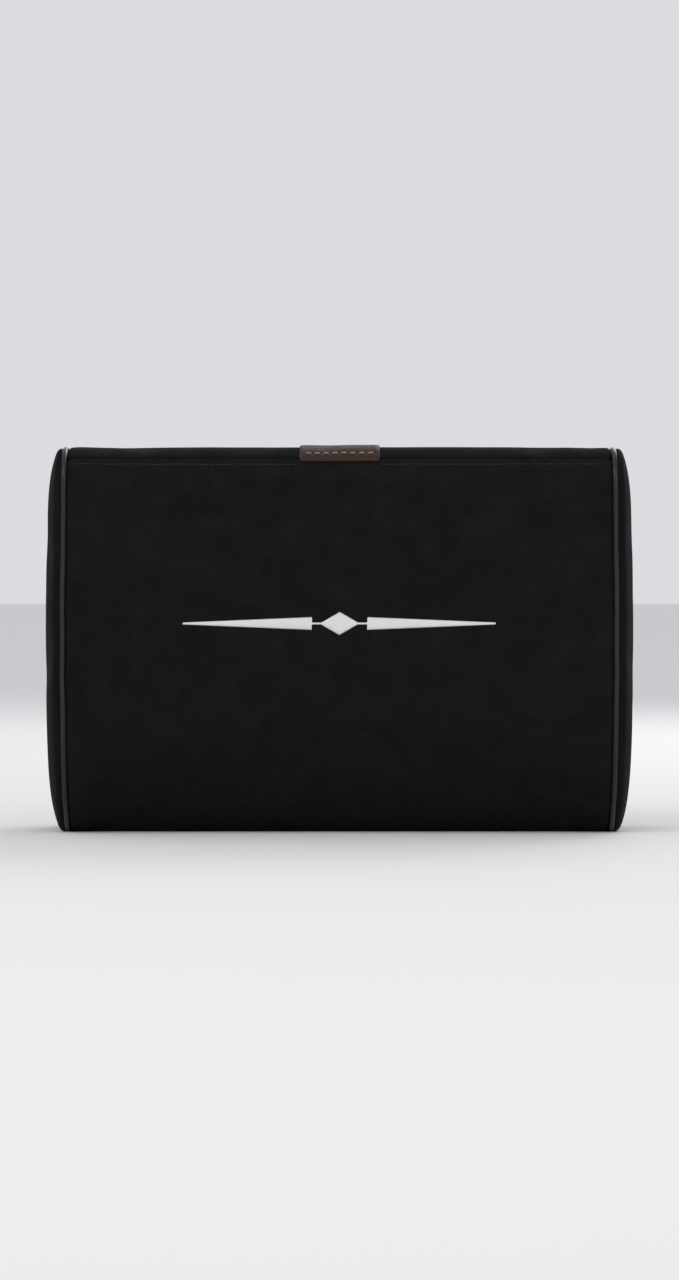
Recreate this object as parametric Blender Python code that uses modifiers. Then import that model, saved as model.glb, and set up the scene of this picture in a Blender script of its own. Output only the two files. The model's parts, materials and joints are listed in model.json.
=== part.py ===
"""Lumbar support cushion: a foam core in a knitted liner, inside a sewn cover.

The cover has piped domed ends and a back zip.
Metres, +Z up. The origin is the centre of the base. +X runs along the cushion, -Y is the front that meets
the sitter's back, and +Y is the flat back that rests on the chair.
"""

import math

import bmesh
import bpy
from mathutils import Vector

MM = 0.001

# Sewn body, without the trim that stands proud of it
WIDTH = 300.0 * MM
DEPTH = 99.2 * MM
HEIGHT = 196.0 * MM
END_BULGE = 10.8 * MM

# Cross-section: tight at the top front, rolled under at the lower front, flat at the back and base
TOP_FRONT_RADIUS = 20.0 * MM
TOP_BACK_RADIUS = 16.0 * MM
BOTTOM_BACK_RADIUS = 14.0 * MM
LOWER_FRONT_DEPTH = 40.0 * MM
LOWER_FRONT_HEIGHT = 64.0 * MM
TOP_SEAM_DROP = 5.0 * MM
BOTTOM_SEAM_SETBACK = 4.0 * MM

# Layers, from the outside in. A seam's gap narrows on its inside by SEAM_SLANT times the cover's thickness.
COVER_THICKNESS = 2.5 * MM
LINER_THICKNESS = 0.8 * MM
PIPING_RADIUS = 1.5 * MM
END_RIM_INSET = 0.6 * MM
LINER_MOUTH_SETBACK = 12.0 * MM
CLEARANCE = 0.3 * MM
SEAM_SLANT = 0.2

# Domed ends: how far in from the rim each ring lies, and its share of the bulge
END_RINGS = ((3.0 * MM, 0.38), (9.0 * MM, 0.68), (20.0 * MM, 0.90), (34.0 * MM, 1.0))

# Back zip, sunk in a channel between the two back panels
ZIP_HEIGHT = 60.0 * MM
ZIP_RECESS = 7.0 * MM
ZIP_END_SETBACK = 19.4 * MM
TAPE_WIDTH = 10.8 * MM
TAPE_THICKNESS = 0.6 * MM
TEETH_WIDTH = 2.3 * MM
TEETH_THICKNESS = 2.0 * MM
STOP_LENGTH = 3.0 * MM
CHANNEL_SIDE_ROOM = 3.5 * MM
GROOVE_SIDE_ROOM = 1.5 * MM
GROOVE_FADE = 0.2 * MM

# Slider and its pull
SLIDER_LENGTH = 12.0 * MM
SLIDER_SIDE_PLAY = 0.4 * MM
PLATE_THICKNESS = 1.2 * MM
SLIDER_FLANGE = 1.2 * MM
SLIDER_WEB = 0.6 * MM
CROWN_LENGTH = 8.4 * MM
CROWN_WIDTH = 2.4 * MM
CROWN_THICKNESS = 0.85 * MM
CROWN_LEG = 1.2 * MM
PULL_LENGTH = 24.0 * MM
PULL_ARM = 1.3 * MM
PULL_THICKNESS = 1.4 * MM
PULL_BAR = 1.2 * MM
PULL_EYE_PLAY = 0.8 * MM
PULL_PLAY = 0.15 * MM
PULL_END_ROOM = 5.0 * MM

# Leather tab folded over the top seam, and its row of stitches
TAB_WIDTH = 40.7 * MM
TAB_THICKNESS = 1.0 * MM
TAB_DROP = 6.8 * MM
TAB_REACH_BACK = 6.0 * MM
STITCH_COUNT = 8
STITCH_MARGIN = 2.35 * MM
STITCH_DROP = 3.4 * MM
THREAD_RADIUS = 0.3 * MM
THREAD_RISE = 0.35 * MM

# Embroidered ornament: a lozenge between two tapered bars
MOTIF_HEIGHT_ABOVE_BASE = 107.0 * MM
MOTIF_THICKNESS = 0.5 * MM
LOZENGE_HALF_LENGTH = 10.0 * MM
LOZENGE_HALF_HEIGHT = 6.2 * MM
BAR_START = 14.0 * MM
BAR_END = 79.0 * MM
BAR_HALF_HEIGHT = 3.4 * MM
BAR_TIP_HALF_HEIGHT = 0.5 * MM
LINK_HALF_HEIGHT = 0.5 * MM

# Places worked out from the sizes above. The ornament's rise is part of the overall depth.
MOTIF_PROUD = CLEARANCE + MOTIF_THICKNESS
CENTRE_Y = MOTIF_PROUD / 2
FRONT_Y = CENTRE_Y - DEPTH / 2
BACK_Y = CENTRE_Y + DEPTH / 2
SEAM_GAP = CLEARANCE + SEAM_SLANT * COVER_THICKNESS
BOTTOM_SEAM_Y = BACK_Y - BOTTOM_BACK_RADIUS - BOTTOM_SEAM_SETBACK
SEAM_X = WIDTH / 2 - END_BULGE
PANEL_HALF_WIDTH = SEAM_X - PIPING_RADIUS - CLEARANCE
END_RIM_X = SEAM_X + PIPING_RADIUS + CLEARANCE
END_RISE = WIDTH / 2 - END_RIM_X
LINER_INSET = END_RIM_INSET + COVER_THICKNESS + CLEARANCE
CORE_INSET = LINER_INSET + LINER_THICKNESS + CLEARANCE

LIP_LENGTH = ZIP_RECESS - CLEARANCE
TAPE_FACE_Y = BACK_Y - ZIP_RECESS
TEETH_FLOOR_Y = TAPE_FACE_Y + CLEARANCE
TEETH_TOP_Y = TEETH_FLOOR_Y + TEETH_THICKNESS
TOP_PLATE_Y = TEETH_TOP_Y + CLEARANCE
CROWN_FLOOR_Y = TOP_PLATE_Y + PLATE_THICKNESS
BAR_CORNER = math.hypot(PULL_BAR / 2, PULL_THICKNESS / 2)
PULL_AXIS_Y = CROWN_FLOOR_Y + BAR_CORNER + PULL_PLAY
CROWN_UNDERSIDE_Y = PULL_AXIS_Y + BAR_CORNER + PULL_PLAY
BOTTOM_PLATE_TOP_Y = TAPE_FACE_Y - TAPE_THICKNESS - CLEARANCE
BOTTOM_PLATE_Y = BOTTOM_PLATE_TOP_Y - PLATE_THICKNESS
CROWN_TOP_Y = CROWN_UNDERSIDE_Y + CROWN_THICKNESS
ZIP_HALF_GAP = SLIDER_WEB / 2 + CLEARANCE
SLIDER_WIDTH = 2 * (ZIP_HALF_GAP + TEETH_WIDTH + SLIDER_SIDE_PLAY + SLIDER_FLANGE)
CHANNEL_HALF = SLIDER_WIDTH / 2 + CHANNEL_SIDE_ROOM
GROOVE_HALF = ZIP_HALF_GAP + TAPE_WIDTH + GROOVE_SIDE_ROOM
GROOVE_FLOOR_Y = BOTTOM_PLATE_Y - CLEARANCE
ZIP_END_X = PANEL_HALF_WIDTH - ZIP_END_SETBACK
PULL_EYE_HALF = CROWN_WIDTH / 2 + 2 * PULL_PLAY
PULL_WIDTH = 2 * (PULL_EYE_HALF + PULL_ARM)
PULL_EYE_REACH = math.hypot(CROWN_LENGTH / 2, CROWN_TOP_Y - PULL_AXIS_Y) + PULL_EYE_PLAY
STITCH_PITCH = (TAB_WIDTH - 2 * STITCH_MARGIN) / STITCH_COUNT
SLIDER_CLOSED_X = min(
    ZIP_END_X - STOP_LENGTH - CLEARANCE - SLIDER_LENGTH / 2,
    PANEL_HALF_WIDTH - PULL_END_ROOM - PULL_LENGTH,
)

CORNER_STEPS = 5
CREST_TO_SEAM_STEPS = 3
TAB_STEPS = 6
LOWER_FRONT_STEPS = 9
CURVE_ROUNDNESS = 2
WELD_DISTANCE = 0.001 * MM

CLOTH_BLACK = (0.010, 0.010, 0.011)
PIPING_BLACK = (0.020, 0.020, 0.021)
LINER_WHITE = (0.72, 0.72, 0.70)
FOAM_CREAM = (0.80, 0.76, 0.62)
TAPE_BLACK = (0.014, 0.014, 0.015)
TEETH_BLACK = (0.020, 0.020, 0.022)
SLIDER_BLACK = (0.030, 0.030, 0.032)
LEATHER_BROWN = (0.110, 0.055, 0.030)
STITCH_TAN = (0.450, 0.330, 0.220)
THREAD_WHITE = (0.820, 0.820, 0.810)


def material(name, colour, roughness, metallic=0.0):
    made = bpy.data.materials.new(name)
    made.use_nodes = True
    shader = made.node_tree.nodes["Principled BSDF"]
    shader.inputs["Base Color"].default_value = (*colour, 1.0)
    shader.inputs["Roughness"].default_value = roughness
    shader.inputs["Metallic"].default_value = metallic
    made.diffuse_color = (*colour, 1.0)
    return made


def place(name, data, surface):
    piece = bpy.data.objects.new(name, data)
    piece.data.materials.append(surface)
    bpy.data.collections["lumbar_support_cushion"].objects.link(piece)
    return piece


def mesh_from(name, bm, sharp_degrees=40.0):
    mesh = bpy.data.meshes.new(name)
    bm.to_mesh(mesh)
    bm.free()
    mesh.shade_smooth()
    mesh.set_sharp_from_angle(angle=math.radians(sharp_degrees))
    return mesh


# Cross-section. A station is a point (y, z) of the sewn body's outline with its outward direction.


def arc(centre, radii, start, end, steps):
    """Stations along an elliptical arc. Angles are in degrees, from +Y towards +Z."""
    stations = []
    for step in range(steps + 1):
        angle = math.radians(start + (end - start) * step / steps)
        point = Vector((centre[0] + radii[0] * math.cos(angle), centre[1] + radii[1] * math.sin(angle)))
        outward = Vector((math.cos(angle) / radii[0], math.sin(angle) / radii[1])).normalized()
        stations.append((point, outward))
    return stations


def top_front_corner(start, end, extra=0.0, steps=CORNER_STEPS):
    centre = (FRONT_Y + TOP_FRONT_RADIUS, HEIGHT - TOP_FRONT_RADIUS)
    radius = TOP_FRONT_RADIUS + extra
    return arc(centre, (radius, radius), start, end, steps)


def drop_angle(drop, extra=0.0):
    """The angle on the top front corner where a surface `extra` proud of it has fallen by `drop`."""
    return 90.0 + math.degrees(math.acos((TOP_FRONT_RADIUS - drop) / (TOP_FRONT_RADIUS + extra)))


def lower_front_roll():
    centre = (FRONT_Y + LOWER_FRONT_DEPTH, LOWER_FRONT_HEIGHT)
    return arc(centre, (LOWER_FRONT_DEPTH, LOWER_FRONT_HEIGHT), 180.0, 270.0, LOWER_FRONT_STEPS)


def bottom_back_corner():
    centre = (BACK_Y - BOTTOM_BACK_RADIUS, BOTTOM_BACK_RADIUS)
    return arc(centre, (BOTTOM_BACK_RADIUS, BOTTOM_BACK_RADIUS), 270.0, 360.0, CORNER_STEPS)


def top_back_corner():
    centre = (BACK_Y - TOP_BACK_RADIUS, HEIGHT - TOP_BACK_RADIUS)
    return arc(centre, (TOP_BACK_RADIUS, TOP_BACK_RADIUS), 0.0, 90.0, CORNER_STEPS)


def whole_outline():
    return top_front_corner(90.0, 180.0) + lower_front_roll() + bottom_back_corner() + top_back_corner()


def section(x, inset, layer_inset=None):
    """The cross-section at x, drawn in by `inset` on every side.

    An inner layer gives its own inset too: it is grooved for the zip, and a deeper layer has a bigger groove.
    Towards the tip of a domed end the surface falls below the groove's floor, and the groove fades out.
    """
    across = 1.0 - 2.0 * inset / DEPTH
    upright = 1.0 - 2.0 * inset / HEIGHT
    middle = HEIGHT / 2
    outline = [station[0] for station in whole_outline()]
    points = [(CENTRE_Y + (p.x - CENTRE_Y) * across, middle + (p.y - middle) * upright) for p in outline]
    if layer_inset is not None:
        deeper = layer_inset - LINER_INSET
        low, high = ZIP_HEIGHT - GROOVE_HALF - deeper, ZIP_HEIGHT + GROOVE_HALF + deeper
        back = BACK_Y - inset
        floor = min(GROOVE_FLOOR_Y - deeper, back - GROOVE_FADE)
        before_top = len(points) - CORNER_STEPS - 1
        points[before_top:before_top] = [(back, low), (floor, low), (floor, high), (back, high)]
    return [Vector((x, y, z)) for y, z in points]


# Ways of making a piece


def grown_from(vert, fresh):
    """The one of the fresh vertices that was extruded from this vertex."""
    return next(edge.other_vert(vert) for edge in vert.link_edges if edge.other_vert(vert) in fresh)


def loft(name, sections, surface):
    """One closed solid drawn through matching closed sections, capped by the first and the last."""
    bm = bmesh.new()
    first = bm.faces.new([bm.verts.new(point) for point in sections[0]])
    ring = list(first.verts)
    edges = list(first.edges)
    for points in sections[1:]:
        grown = bmesh.ops.extrude_edge_only(bm, edges=edges)["geom"]
        fresh = {item for item in grown if isinstance(item, bmesh.types.BMVert)}
        edges = [item for item in grown if isinstance(item, bmesh.types.BMEdge)]
        edges = [edge for edge in edges if edge.verts[0] in fresh and edge.verts[1] in fresh]
        ring = [grown_from(vert, fresh) for vert in ring]
        for vert, point in zip(ring, points):
            vert.co = point
    bm.faces.new(ring)
    bmesh.ops.recalc_face_normals(bm, faces=bm.faces)
    return place(name, mesh_from(name, bm), surface)


def sheet(name, path, half_width, thickness, surface, outside=False):
    """A path of (y, z) points carried along X, then thickened inwards, or outwards if `outside`."""
    bm = bmesh.new()
    verts = [bm.verts.new((-half_width, point.x, point.y)) for point in path]
    edges = [bm.edges.new(pair) for pair in zip(verts, verts[1:])]
    grown = bmesh.ops.extrude_edge_only(bm, edges=edges)["geom"]
    fresh = [item for item in grown if isinstance(item, bmesh.types.BMVert)]
    bmesh.ops.translate(bm, verts=fresh, vec=(2 * half_width, 0.0, 0.0))
    bm.normal_update()
    middle = Vector((0.0, CENTRE_Y, HEIGHT / 2))
    longest = max(bm.faces, key=lambda face: face.calc_area())
    if longest.normal.dot(longest.calc_center_median() - middle) < 0:
        bmesh.ops.reverse_faces(bm, faces=bm.faces)
    piece = place(name, mesh_from(name, bm), surface)
    wall = piece.modifiers.new("thickness", "SOLIDIFY")
    wall.thickness = thickness
    wall.offset = 1.0 if outside else -1.0
    wall.use_even_offset = True
    return piece


def cord(name, points, radius, closed, surface):
    """A round cord along the points, as one closed loop or with filled ends."""
    curve = bpy.data.curves.new(name, "CURVE")
    curve.dimensions = "3D"
    curve.bevel_depth = radius
    curve.bevel_resolution = CURVE_ROUNDNESS
    curve.use_fill_caps = not closed
    spline = curve.splines.new("POLY")
    spline.points.add(len(points) - 1)
    for knot, point in zip(spline.points, points):
        knot.co = (*point, 1.0)
    spline.use_cyclic_u = closed
    return place(name, curve, surface)


def plate(name, outlines, thickness, surface):
    """A flat plate in the local XY plane, with any outline after the first cut out as a hole."""
    curve = bpy.data.curves.new(name, "CURVE")
    curve.dimensions = "2D"
    curve.fill_mode = "BOTH"
    curve.extrude = thickness / 2
    for outline in outlines:
        spline = curve.splines.new("POLY")
        spline.points.add(len(outline) - 1)
        for knot, point in zip(spline.points, outline):
            knot.co = (point[0], point[1], 0.0, 1.0)
        spline.use_cyclic_u = True
    return place(name, curve, surface)


def block(name, low, high, surface, round_edges=0.0):
    bm = bmesh.new()
    bmesh.ops.create_cube(bm, size=1.0)
    low, high = Vector(low), Vector(high)
    bmesh.ops.scale(bm, verts=bm.verts, vec=high - low)
    bmesh.ops.translate(bm, verts=bm.verts, vec=(low + high) / 2)
    piece = place(name, mesh_from(name, bm), surface)
    if round_edges:
        rounding = piece.modifiers.new("rounding", "BEVEL")
        rounding.width = round_edges
        rounding.segments = 2
    return piece


def made_solid(piece):
    """The same piece with its curve turned into a closed mesh, ready for a Boolean."""
    name, surface = piece.name, piece.data.materials[0]
    bpy.context.view_layer.update()
    evaluated = piece.evaluated_get(bpy.context.evaluated_depsgraph_get())
    mesh = bpy.data.meshes.new_from_object(evaluated)
    bm = bmesh.new()
    bm.from_mesh(mesh)
    bmesh.ops.remove_doubles(bm, verts=bm.verts, dist=WELD_DISTANCE)
    bm.to_mesh(mesh)
    bm.free()
    mesh.materials.clear()
    seat = piece.matrix_world.copy()
    bpy.data.objects.remove(piece)
    solid = place(name, mesh, surface)
    solid.matrix_world = seat
    return solid


# Soft insides


def end_rings(x_shift, inset):
    """(x, inset) of one domed end's rings, moved in from the outer surface by the given amounts."""
    return [(END_RIM_X + END_RISE * share - x_shift, inset + step) for step, share in END_RINGS]


def shell_end(layer_inset):
    """The domed end of an inner layer: its straight sides stop short of the rim, then it follows the dome."""
    sunk = layer_inset - END_RIM_INSET
    return [(END_RIM_X - layer_inset, layer_inset)] + end_rings(sunk, layer_inset)


def foam_core(surface):
    right = shell_end(CORE_INSET)
    rings = [(-x, inset) for x, inset in reversed(right)] + right
    return loft("foam_core", [section(x, inset, CORE_INSET) for x, inset in rings], surface)


def core_liner(surface):
    """A sleeve closed at the left end and open at the right, where the foam goes in."""
    mouth = PANEL_HALF_WIDTH - LINER_MOUTH_SETBACK
    inner_inset = LINER_INSET + LINER_THICKNESS
    sections = [section(-x, inset, LINER_INSET) for x, inset in reversed(shell_end(LINER_INSET))]
    sections.append(section(mouth, LINER_INSET, LINER_INSET))
    sections.append(section(mouth, inner_inset, inner_inset))
    sections += [section(-x, inset, inner_inset) for x, inset in shell_end(inner_inset)]
    return loft("core_liner", sections, surface)


# Sewn cover


def points_of(stations):
    return [station[0] for station in stations]


def seam_angles():
    """Where the back panel ends and the front panel starts, either side of the top seam."""
    seam = drop_angle(TOP_SEAM_DROP)
    half_gap = math.degrees(SEAM_GAP / 2 / TOP_FRONT_RADIUS)
    return seam - half_gap, seam + half_gap


def front_panel(surface):
    start = seam_angles()[1]
    path = points_of(top_front_corner(start, 180.0) + lower_front_roll())
    path.append(Vector((BOTTOM_SEAM_Y - SEAM_GAP / 2, 0.0)))
    return sheet("front_panel", path, PANEL_HALF_WIDTH, COVER_THICKNESS, surface)


def back_panel_lower(surface):
    """Round the bottom back corner and up to the zip, where its edge turns in."""
    edge = ZIP_HEIGHT - CHANNEL_HALF
    path = [Vector((BOTTOM_SEAM_Y + SEAM_GAP / 2, 0.0))] + points_of(bottom_back_corner())
    path += [Vector((BACK_Y, edge)), Vector((BACK_Y - LIP_LENGTH, edge))]
    return sheet("back_panel_lower", path, PANEL_HALF_WIDTH, COVER_THICKNESS, surface)


def back_panel_upper(surface):
    """From the zip up the back and over the top to the top seam."""
    edge = ZIP_HEIGHT + CHANNEL_HALF
    path = [Vector((BACK_Y - LIP_LENGTH, edge)), Vector((BACK_Y, edge))]
    path += points_of(top_back_corner() + top_front_corner(90.0, seam_angles()[0], steps=CREST_TO_SEAM_STEPS))
    return sheet("back_panel_upper", path, PANEL_HALF_WIDTH, COVER_THICKNESS, surface)


def end_panel(name, side, surface):
    """A domed D-shaped end: its inner face, its rim and its outer face, in that order."""
    outer = [(END_RIM_X, END_RIM_INSET)] + end_rings(0.0, END_RIM_INSET)
    inner = [(END_RIM_X, END_RIM_INSET + COVER_THICKNESS)]
    inner += end_rings(COVER_THICKNESS, END_RIM_INSET + COVER_THICKNESS)
    rings = list(reversed(inner)) + outer
    return loft(name, [section(side * x, inset) for x, inset in rings], surface)


def piping(name, side, surface):
    """The corded edge between an end panel and the long panels, flush with the body's surface."""
    points = []
    for point, outward in whole_outline():
        sunk = point - outward * PIPING_RADIUS
        points.append((side * SEAM_X, sunk.x, sunk.y))
    return cord(name, points, PIPING_RADIUS, True, surface)


# Zip


def zip_side(upper, low, high):
    """Heights of a strip on one side of the zip's centre line, from its distances to that line."""
    if upper:
        return ZIP_HEIGHT + low, ZIP_HEIGHT + high
    return ZIP_HEIGHT - high, ZIP_HEIGHT - low


def zip_tape(name, upper, surface):
    low, high = zip_side(upper, ZIP_HALF_GAP, ZIP_HALF_GAP + TAPE_WIDTH)
    back = TAPE_FACE_Y - TAPE_THICKNESS
    return block(
        name, (-PANEL_HALF_WIDTH, back, low), (PANEL_HALF_WIDTH, TAPE_FACE_Y, high), surface
    )


def zip_teeth(name, upper, surface):
    low, high = zip_side(upper, ZIP_HALF_GAP, ZIP_HALF_GAP + TEETH_WIDTH)
    reach = ZIP_END_X - STOP_LENGTH - CLEARANCE
    rounding = TEETH_THICKNESS / 5
    return block(name, (-reach, TEETH_FLOOR_Y, low), (reach, TEETH_TOP_Y, high), surface, rounding)


def zip_stop(name, side, surface):
    """The clip that closes one end of the teeth."""
    inner, outer = sorted((side * (ZIP_END_X - STOP_LENGTH), side * ZIP_END_X))
    half = ZIP_HALF_GAP + TEETH_WIDTH
    low, high = ZIP_HEIGHT - half, ZIP_HEIGHT + half
    rounding = TEETH_THICKNESS / 5
    return block(name, (inner, TEETH_FLOOR_Y, low), (outer, TEETH_TOP_Y, high), surface, rounding)


def slider_section():
    """The slider's cross-section as (z, y): a flanged top plate, a web and a bottom plate."""
    half = SLIDER_WIDTH / 2
    web = SLIDER_WEB / 2
    flange_in = half - SLIDER_FLANGE
    right = [
        (half, CROWN_FLOOR_Y),
        (half, TEETH_FLOOR_Y),
        (flange_in, TEETH_FLOOR_Y),
        (flange_in, TOP_PLATE_Y),
        (web, TOP_PLATE_Y),
        (web, BOTTOM_PLATE_TOP_Y),
        (half, BOTTOM_PLATE_TOP_Y),
        (half, BOTTOM_PLATE_Y),
    ]
    left = [(-z, y) for z, y in reversed(right)]
    return [(z, y - PULL_AXIS_Y) for z, y in right + left]


def crown_outline():
    """The bridge over the pull's bar, as (x, y): an arch with both feet sunk in the top plate."""
    half = CROWN_LENGTH / 2
    foot = CROWN_FLOOR_Y - PLATE_THICKNESS / 2
    right = [
        (half - CROWN_LEG, foot),
        (half, foot),
        (half, CROWN_TOP_Y - CROWN_THICKNESS),
        (half - CROWN_THICKNESS, CROWN_TOP_Y),
    ]
    left = [(-x, y) for x, y in reversed(right)]
    arch = right + left + [(CROWN_LEG - half, CROWN_UNDERSIDE_Y), (half - CROWN_LEG, CROWN_UNDERSIDE_Y)]
    return [(x, y - PULL_AXIS_Y) for x, y in arch]


def zip_slider(surface):
    """The slider, with its origin on the pull's axis, under the crown."""
    seat = Vector((SLIDER_CLOSED_X, PULL_AXIS_Y, ZIP_HEIGHT))
    body = plate("zip_slider", [slider_section()], SLIDER_LENGTH, surface)
    body.rotation_euler = (0.0, -math.pi / 2, 0.0)
    body.location = seat
    body = made_solid(body)
    crown = plate("crown", [crown_outline()], CROWN_WIDTH, surface)
    crown.location = seat
    crown = made_solid(crown)
    bpy.data.collections["lumbar_support_cushion"].objects.unlink(crown)
    bpy.data.collections["cutters"].objects.link(crown)
    crown.hide_render = True
    crown.display_type = "WIRE"
    join = body.modifiers.new("crown", "BOOLEAN")
    join.operation = "UNION"
    join.solver = "MANIFOLD"
    join.object = crown
    return body


def pull_outlines():
    """The pull at rest lies along -X from its bar. Its eye straddles the crown."""
    half = PULL_WIDTH / 2
    near = PULL_BAR / 2
    far = near - PULL_LENGTH
    corner = PULL_WIDTH / 4
    outer = [
        (near, -half + corner / 2),
        (near, half - corner / 2),
        (near - corner / 2, half),
        (far + corner, half),
        (far, half - corner),
        (far, corner - half),
        (far + corner, -half),
        (near - corner / 2, -half),
    ]
    eye = [
        (-PULL_BAR / 2, -PULL_EYE_HALF),
        (-PULL_BAR / 2, PULL_EYE_HALF),
        (-PULL_EYE_REACH, PULL_EYE_HALF),
        (-PULL_EYE_REACH, -PULL_EYE_HALF),
    ]
    return [outer, eye]


def zip_pull(slider, surface):
    pull = plate("zip_pull", pull_outlines(), PULL_THICKNESS, surface)
    pull.rotation_euler = (math.pi / 2, 0.0, 0.0)
    pull.location = slider.location
    bpy.context.view_layer.update()
    pull = made_solid(pull)
    pull.parent = slider
    pull.matrix_parent_inverse = slider.matrix_world.inverted()
    return pull


# Trim


def leather_tab(surface):
    """A short strip folded over the top seam, wrapped on the corner's curve."""
    lowest = drop_angle(TAB_DROP, CLEARANCE)
    path = points_of(top_front_corner(lowest, 90.0, CLEARANCE, TAB_STEPS))
    path.append(path[-1] + Vector((TAB_REACH_BACK, 0.0)))
    return sheet("leather_tab", path, TAB_WIDTH / 2, TAB_THICKNESS, surface, outside=True)


def tab_stitching(surface):
    """One thread along the tab that rises over each stitch and dips between them."""
    tab_face = CLEARANCE + TAB_THICKNESS
    low = tab_face + CLEARANCE + THREAD_RADIUS
    angle = drop_angle(STITCH_DROP, tab_face)
    points = []
    for stitch in range(STITCH_COUNT):
        middle = (stitch - (STITCH_COUNT - 1) / 2) * STITCH_PITCH
        for share, rise in ((-0.40, 0.0), (-0.22, THREAD_RISE), (0.22, THREAD_RISE), (0.40, 0.0)):
            point = top_front_corner(angle, angle, low + rise, 1)[0][0]
            points.append((middle + share * STITCH_PITCH, point.x, point.y))
    return cord("tab_stitching", points, THREAD_RADIUS, False, surface)


def embroidered_motif(surface):
    """A lozenge between two bars that taper outwards, symmetrical left to right and top to bottom."""
    near_bar = BAR_START - LINK_HALF_HEIGHT
    upper_right = [
        (0.0, LOZENGE_HALF_HEIGHT),
        (LOZENGE_HALF_LENGTH, LINK_HALF_HEIGHT),
        (near_bar, LINK_HALF_HEIGHT),
        (BAR_START, BAR_HALF_HEIGHT),
        (BAR_END, BAR_TIP_HALF_HEIGHT),
    ]
    lower_right = [(x, -z) for x, z in reversed(upper_right)]
    left = [(-x, z) for x, z in reversed(upper_right[1:] + lower_right[:-1])]
    motif = plate("embroidered_motif", [upper_right + lower_right + left], MOTIF_THICKNESS, surface)
    motif.rotation_euler = (math.pi / 2, 0.0, 0.0)
    motif.location = (0.0, FRONT_Y - CLEARANCE - MOTIF_THICKNESS / 2, MOTIF_HEIGHT_ABOVE_BASE)
    return motif


def start_clean():
    for old in list(bpy.data.objects):
        bpy.data.objects.remove(old)
    for name in ("lumbar_support_cushion", "cutters"):
        collection = bpy.data.collections.new(name)
        bpy.context.scene.collection.children.link(collection)


def main():
    start_clean()
    foam_core(material("memory_foam", FOAM_CREAM, 0.95))
    core_liner(material("liner_knit", LINER_WHITE, 0.90))
    front_panel(material("front_velour", CLOTH_BLACK, 0.90))
    back_panel_upper(material("back_upper_velour", CLOTH_BLACK, 0.90))
    back_panel_lower(material("back_lower_velour", CLOTH_BLACK, 0.90))
    end_panel("left_end_panel", -1.0, material("left_end_velour", CLOTH_BLACK, 0.85))
    end_panel("right_end_panel", 1.0, material("right_end_velour", CLOTH_BLACK, 0.85))
    piping("piping_left", -1.0, material("left_piping_satin", PIPING_BLACK, 0.40))
    piping("piping_right", 1.0, material("right_piping_satin", PIPING_BLACK, 0.40))
    zip_tape("zip_tape_upper", True, material("upper_zip_tape", TAPE_BLACK, 0.85))
    zip_tape("zip_tape_lower", False, material("lower_zip_tape", TAPE_BLACK, 0.85))
    zip_teeth("zip_teeth_upper", True, material("upper_zip_coil", TEETH_BLACK, 0.45))
    zip_teeth("zip_teeth_lower", False, material("lower_zip_coil", TEETH_BLACK, 0.45))
    zip_stop("zip_stop_closed_end", 1.0, material("closed_end_stop", SLIDER_BLACK, 0.40, 0.8))
    zip_stop("zip_stop_open_end", -1.0, material("open_end_stop", SLIDER_BLACK, 0.40, 0.8))
    slider = zip_slider(material("slider_enamel", SLIDER_BLACK, 0.35, 0.8))
    zip_pull(slider, material("pull_enamel", SLIDER_BLACK, 0.35, 0.8))
    leather_tab(material("tab_leather", LEATHER_BROWN, 0.55))
    tab_stitching(material("tab_thread", STITCH_TAN, 0.70))
    embroidered_motif(material("motif_thread", THREAD_WHITE, 0.50))


main()
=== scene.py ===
"""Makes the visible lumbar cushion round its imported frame: cover, piping, zip, trim, core and stage."""

import json
import math

import bmesh
import bpy
from bpy.props import FloatProperty, FloatVectorProperty, IntProperty, PointerProperty
from mathutils import Matrix, Vector
from mathutils.bvhtree import BVHTree
from mathutils.kdtree import KDTree


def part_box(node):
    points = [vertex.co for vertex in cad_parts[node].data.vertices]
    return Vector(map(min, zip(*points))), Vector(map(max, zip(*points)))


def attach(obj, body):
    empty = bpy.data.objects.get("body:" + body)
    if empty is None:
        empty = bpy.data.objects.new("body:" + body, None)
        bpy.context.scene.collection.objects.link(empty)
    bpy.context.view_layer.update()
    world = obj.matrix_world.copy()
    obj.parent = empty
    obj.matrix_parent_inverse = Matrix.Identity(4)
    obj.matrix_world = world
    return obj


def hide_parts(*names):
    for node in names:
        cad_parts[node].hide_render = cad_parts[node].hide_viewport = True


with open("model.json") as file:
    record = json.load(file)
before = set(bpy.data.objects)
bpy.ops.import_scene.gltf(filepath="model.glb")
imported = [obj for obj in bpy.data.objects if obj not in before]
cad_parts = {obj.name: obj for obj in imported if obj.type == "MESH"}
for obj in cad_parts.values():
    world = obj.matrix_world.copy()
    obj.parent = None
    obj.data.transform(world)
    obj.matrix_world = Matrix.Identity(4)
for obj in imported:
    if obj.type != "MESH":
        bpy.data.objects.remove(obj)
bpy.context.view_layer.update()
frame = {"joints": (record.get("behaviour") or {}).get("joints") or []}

bl_info = {
    "name": "Lumbar Cushion",
    "version": (1, 0, 0),
    "blender": (4, 5, 0),
    "location": "View3D > Sidebar > Cushion",
    "description": "Sewn velour lumbar cushion with piping, a back zip, a leather tab and embroidery",
    "category": "Add Mesh",
}

MM = 0.001
# Two places closer than this count as one.
NEAR = MM / 10
ROOT_BODY = "cushion"

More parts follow.
